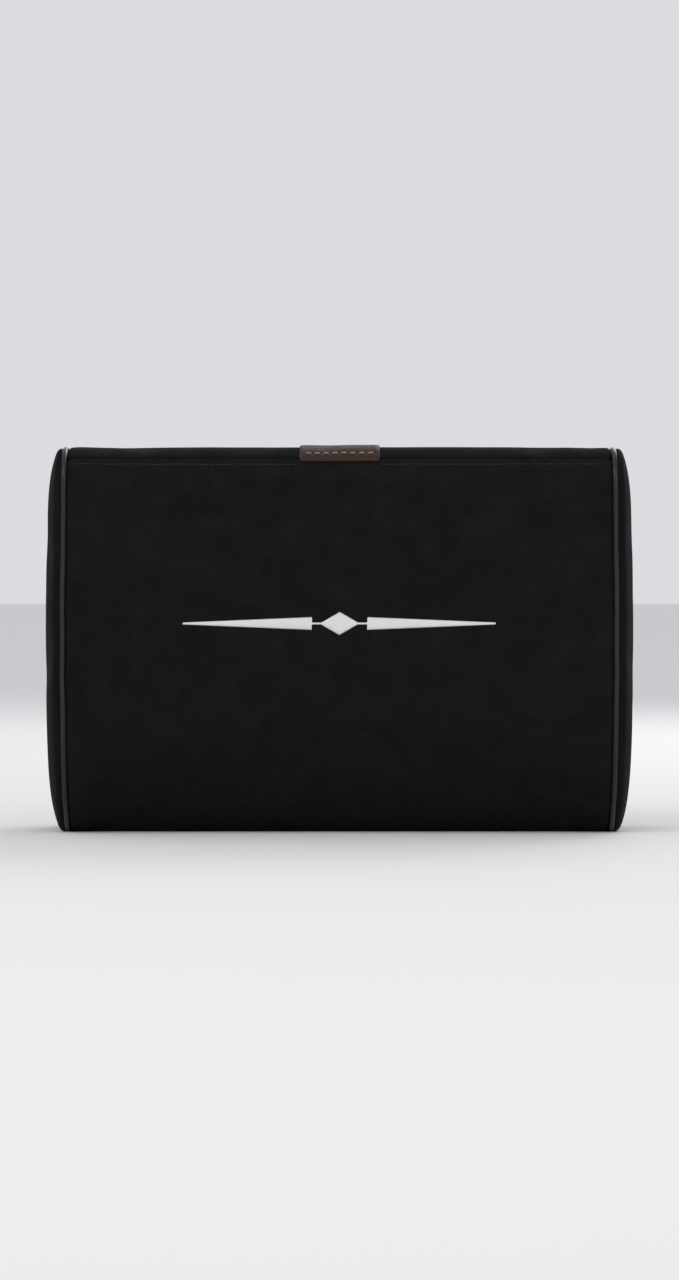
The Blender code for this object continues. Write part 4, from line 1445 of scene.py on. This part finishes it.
def tab_stitch_mesh(leather):
    """The row of slightly slanted stitches across the tab, each dipping into its holes."""
    settings = bpy.context.scene.cushion_trim
    radius = bpy.context.scene.cushion_cover.top_front_radius + settings.tab_lift + settings.tab_thickness
    corner = tab_corner()
    row, pitch = tab_row()
    height = row - corner.z
    inwards = Vector((0.0, math.sqrt(radius**2 - height**2), -height)).normalized()
    half_stitch = Vector((pitch * 0.34, 0.0, 0.15 * MM))
    lift = inwards * -0.28 * MM
    bm = bmesh.new()
    for number in range(settings.stitches):
        middle = corner - inwards * radius
        middle.x += (number - (settings.stitches - 1) / 2) * pitch
        start = lay_on(leather, middle - half_stitch, inwards)
        end = lay_on(leather, middle + half_stitch, inwards)
        add_stitch(bm, start + lift, end + lift, radius=0.42 * MM, sides=8, sag=0.3 * MM, down=inwards)
    return bm


def ornament_half_height(x):
    """Half the ornament's height at x: a lozenge in the middle and a tapered bar on each side."""
    lozenge_half = (ORNAMENT_BOX[1].z - ORNAMENT_BOX[0].z) / 2
    lozenge_end, bar_start, bar_end = 10.0 * MM, 14.0 * MM, ORNAMENT_BOX[1].x
    bar_half, tip = 3.4 * MM, 0.5 * MM
    reach = abs(x)
    if reach < lozenge_end:
        return max(tip, lozenge_half * (1.0 - reach / lozenge_end))
    if reach < bar_start:
        return tip
    return bar_half + (tip - bar_half) * (reach - bar_start) / (bar_end - bar_start)


def ornament_mesh(cloth):
    """Satin stitch: one thread beside another across the ornament, each slanted a little."""
    settings = bpy.context.scene.cushion_trim
    middle_z = (ORNAMENT_BOX[0].z + ORNAMENT_BOX[1].z) / 2
    reach = ORNAMENT_BOX[1].x
    inwards = Vector((0.0, 1.0, 0.0))
    lean, unevenness, lift = 0.12 * MM, 0.12 * MM, inwards * -0.16 * MM
    bm = bmesh.new()
    for number in range(int(2 * reach / settings.thread_pitch) + 1):
        x = -reach + number * settings.thread_pitch
        half = ornament_half_height(x)
        middle = middle_z + unevenness * math.sin(number * 2.4)
        top = lay_on(cloth, Vector((x + lean, FRONT_Y, middle + half)), inwards)
        foot = lay_on(cloth, Vector((x - lean, FRONT_Y, middle - half)), inwards)
        add_stitch(bm, foot + lift, top + lift, settings.thread_radius, sides=6, sag=0.2 * MM, down=inwards)
    return bm


def sewing_rows(cloth):
    """The cover's visible rows of stitches: along the top seam and on both sides of the zip."""
    stitch = bpy.context.scene.cushion_trim.seam_stitch
    half = SEAM_X - PIPING_RADIUS - 3 * MM
    top, beyond = stitch_line_top(), 5 * MM
    over_corner, from_back = Vector((0.0, 1.0, -1.0)).normalized(), Vector((0.0, -1.0, 0.0))
    rows = (
        (lambda x: (x, top.x, top.y), over_corner, True),
        (lambda x: (x, BACK_Y, ZIP_MIDDLE - channel_half(x) - beyond), from_back, False),
        (lambda x: (x, BACK_Y, ZIP_MIDDLE + channel_half(x) + beyond), from_back, False),
    )
    bm = bmesh.new()
    for place, inwards, meets_tab in rows:
        lift = inwards * -0.08 * MM
        for number in range(int(2 * half / stitch)):
            x = -half + number * stitch
            if meets_tab and TAB_BOX[0].x - MM < x < TAB_BOX[1].x:
                continue
            start = lay_on(cloth, Vector(place(x)), inwards)
            end = lay_on(cloth, Vector(place(x + stitch * 0.8)), inwards)
            add_stitch(bm, start + lift, end + lift, radius=0.2 * MM, sides=5, sag=0.14 * MM, down=inwards)
    return bm


class CUSHION_OT_trim(bpy.types.Operator):
    """Sew on the leather tab, the ornament and the visible stitching"""

    bl_idname = "cushion.trim"
    bl_label = "Tab, Ornament and Stitching"

    def execute(self, context):
        settings = context.scene.cushion_trim
        cloth = surface_under(["front_panel_cloth", "back_panel_upper_cloth", "back_panel_lower_cloth"])
        leather = leather_material("brown_leather", settings.tab_leather)
        tab = add_piece("leather_tab_strip", tab_mesh(), leather, ["leather_tab"])
        round_off(thicken(tab, settings.tab_thickness, outwards=True))
        tab_thread = thread_material("tab_thread", settings.tab_thread, 0.6)
        on_tab = surface_under(["leather_tab_strip"])
        add_piece("tab_stitches", tab_stitch_mesh(on_tab), tab_thread, ["tab_stitching"])
        white = thread_material("ornament_thread", settings.ornament, 0.35, 700.0, 0.1)
        add_piece("ornament_embroidery", ornament_mesh(cloth), white, ["embroidered_motif"])
        black = thread_material("cover_sewing_thread", settings.seam_thread, 0.5)
        add_piece("cover_stitching", sewing_rows(cloth), black, [])
        return {"FINISHED"}


# Core


def core_groove(extra):
    """The groove that an inner layer has for the zip: its floor's y and its half height."""
    under_slider, beyond_tape = 0.3 * MM, 1.5 * MM
    return SLIDER_BOX[0].y - under_slider - extra, UPPER_TAPE_BOX[1].z - ZIP_MIDDLE + beyond_tape + extra


class CUSHION_OT_core(bpy.types.Operator):
    """Mould the foam core and knit its liner"""

    bl_idname = "cushion.core"
    bl_label = "Foam Core and Liner"

    def execute(self, context):
        settings = context.scene.cushion_core
        step = 4.0 * MM
        foam = foam_material("memory_foam_cells", settings.foam)
        knit = knit_material("liner_knit_loops", settings.liner)
        core_inset = HEIGHT - CORE_BOX[1].z
        liner_inset = HEIGHT - LINER_BOX[1].z
        bm = bmesh.new()
        rim = SEAM_X - core_inset
        domed_body(bm, step, rim, CORE_BOX[1].x - rim, core_inset, core_groove(core_inset - liner_inset))
        core = round_off(add_piece("foam_core_moulded", bm, foam, ["foam_core"]))
        bm = bmesh.new()
        rim = SEAM_X - liner_inset
        domed_body(bm, step, rim, -LINER_BOX[0].x - rim, liner_inset, core_groove(0.0), right_end=False)
        bmesh.ops.bisect_plane(
            bm,
            geom=everything(bm),
            plane_co=(LINER_BOX[1].x, 0.0, 0.0),
            plane_no=(1.0, 0.0, 0.0),
            clear_outer=True,
        )
        liner = add_piece("core_liner_sleeve", bm, knit, ["core_liner"])
        thicken(liner, settings.liner_thickness)
        return {"FINISHED"}


# Stage


def softbox(name, place, size, power):
    """A rectangular lamp turned towards the cushion's middle."""
    light = bpy.data.lights.new(name, "AREA")
    light.shape = "RECTANGLE"
    light.size, light.size_y = size
    light.energy = power
    lamp = bpy.data.objects.new(name, light)
    lamp.location = place
    lamp.rotation_euler = (Vector((0.0, 0.0, HEIGHT / 2)) - Vector(place)).to_track_quat("-Z", "Y").to_euler()
    bpy.context.scene.collection.objects.link(lamp)


class CUSHION_OT_stage(bpy.types.Operator):
    """Set up the pale floor, soft light and camera"""

    bl_idname = "cushion.stage"
    bl_label = "Stage"

    def execute(self, context):
        scene = context.scene
        settings = scene.cushion_stage
        mesh = bpy.data.meshes.new("studio_floor")
        bm = bmesh.new()
        bmesh.ops.create_grid(bm, x_segments=4, y_segments=4, size=settings.floor_reach)
        bm.to_mesh(mesh)
        bm.free()
        mesh.materials.append(floor_material("pale_floor", settings.floor))
        floor = bpy.data.objects.new("studio_floor", mesh)
        scene.collection.objects.link(floor)
        world = bpy.data.worlds.new("soft_room")
        world.use_nodes = True
        world.node_tree.nodes["Background"].inputs["Color"].default_value = (0.96, 0.97, 1.0, 1.0)
        world.node_tree.nodes["Background"].inputs["Strength"].default_value = settings.room_light
        scene.world = world
        softbox("key_softbox", (-0.9, -1.6, 1.7), (1.4, 1.0), settings.key_power)
        softbox("fill_softbox", (1.4, -1.8, 1.0), (1.2, 1.2), settings.fill_power)
        softbox("back_softbox", (0.7, 1.6, 1.3), (1.2, 0.8), settings.back_power)
        lens = bpy.data.cameras.new("front_camera")
        lens.sensor_width = 36.0
        lens.lens = lens.sensor_width * settings.distance / settings.view_height
        camera = bpy.data.objects.new("front_camera", lens)
        camera.location = CENTRE + Vector((0.0, -settings.distance, settings.rise))
        camera.rotation_euler = (CENTRE - camera.location).to_track_quat("-Z", "Y").to_euler()
        scene.collection.objects.link(camera)
        scene.camera = camera
        scene.view_settings.view_transform = "Standard"
        return {"FINISHED"}


OPERATORS = (
    CUSHION_OT_stage,
    CUSHION_OT_cover,
    CUSHION_OT_piping,
    CUSHION_OT_zip,
    CUSHION_OT_trim,
    CUSHION_OT_core,
)


class CUSHION_PT_sidebar(bpy.types.Panel):
    """Lists the cushion's pieces with their sizes and colours"""

    bl_label = "Lumbar Cushion"
    bl_idname = "CUSHION_PT_sidebar"
    bl_space_type = "VIEW_3D"
    bl_region_type = "UI"
    bl_category = "Cushion"

    def draw(self, context):
        for operator in OPERATORS:
            self.layout.operator(operator.bl_idname)
        for name, group in SETTINGS.items():
            box = self.layout.box()
            for label in group.__annotations__:
                box.prop(getattr(context.scene, name), label)


CLASSES = (*SETTINGS.values(), *OPERATORS, CUSHION_PT_sidebar)


def register():
    for made in CLASSES:
        bpy.utils.register_class(made)
    for name, group in SETTINGS.items():
        setattr(bpy.types.Scene, name, PointerProperty(type=group))


def unregister():
    for name in SETTINGS:
        delattr(bpy.types.Scene, name)
    for made in reversed(CLASSES):
        bpy.utils.unregister_class(made)


def main():
    register()
    bpy.ops.cushion.stage()
    bpy.ops.cushion.cover()
    bpy.ops.cushion.piping()
    bpy.ops.cushion.zip()
    bpy.ops.cushion.trim()
    bpy.ops.cushion.core()


if __name__ == "__main__":
    main()
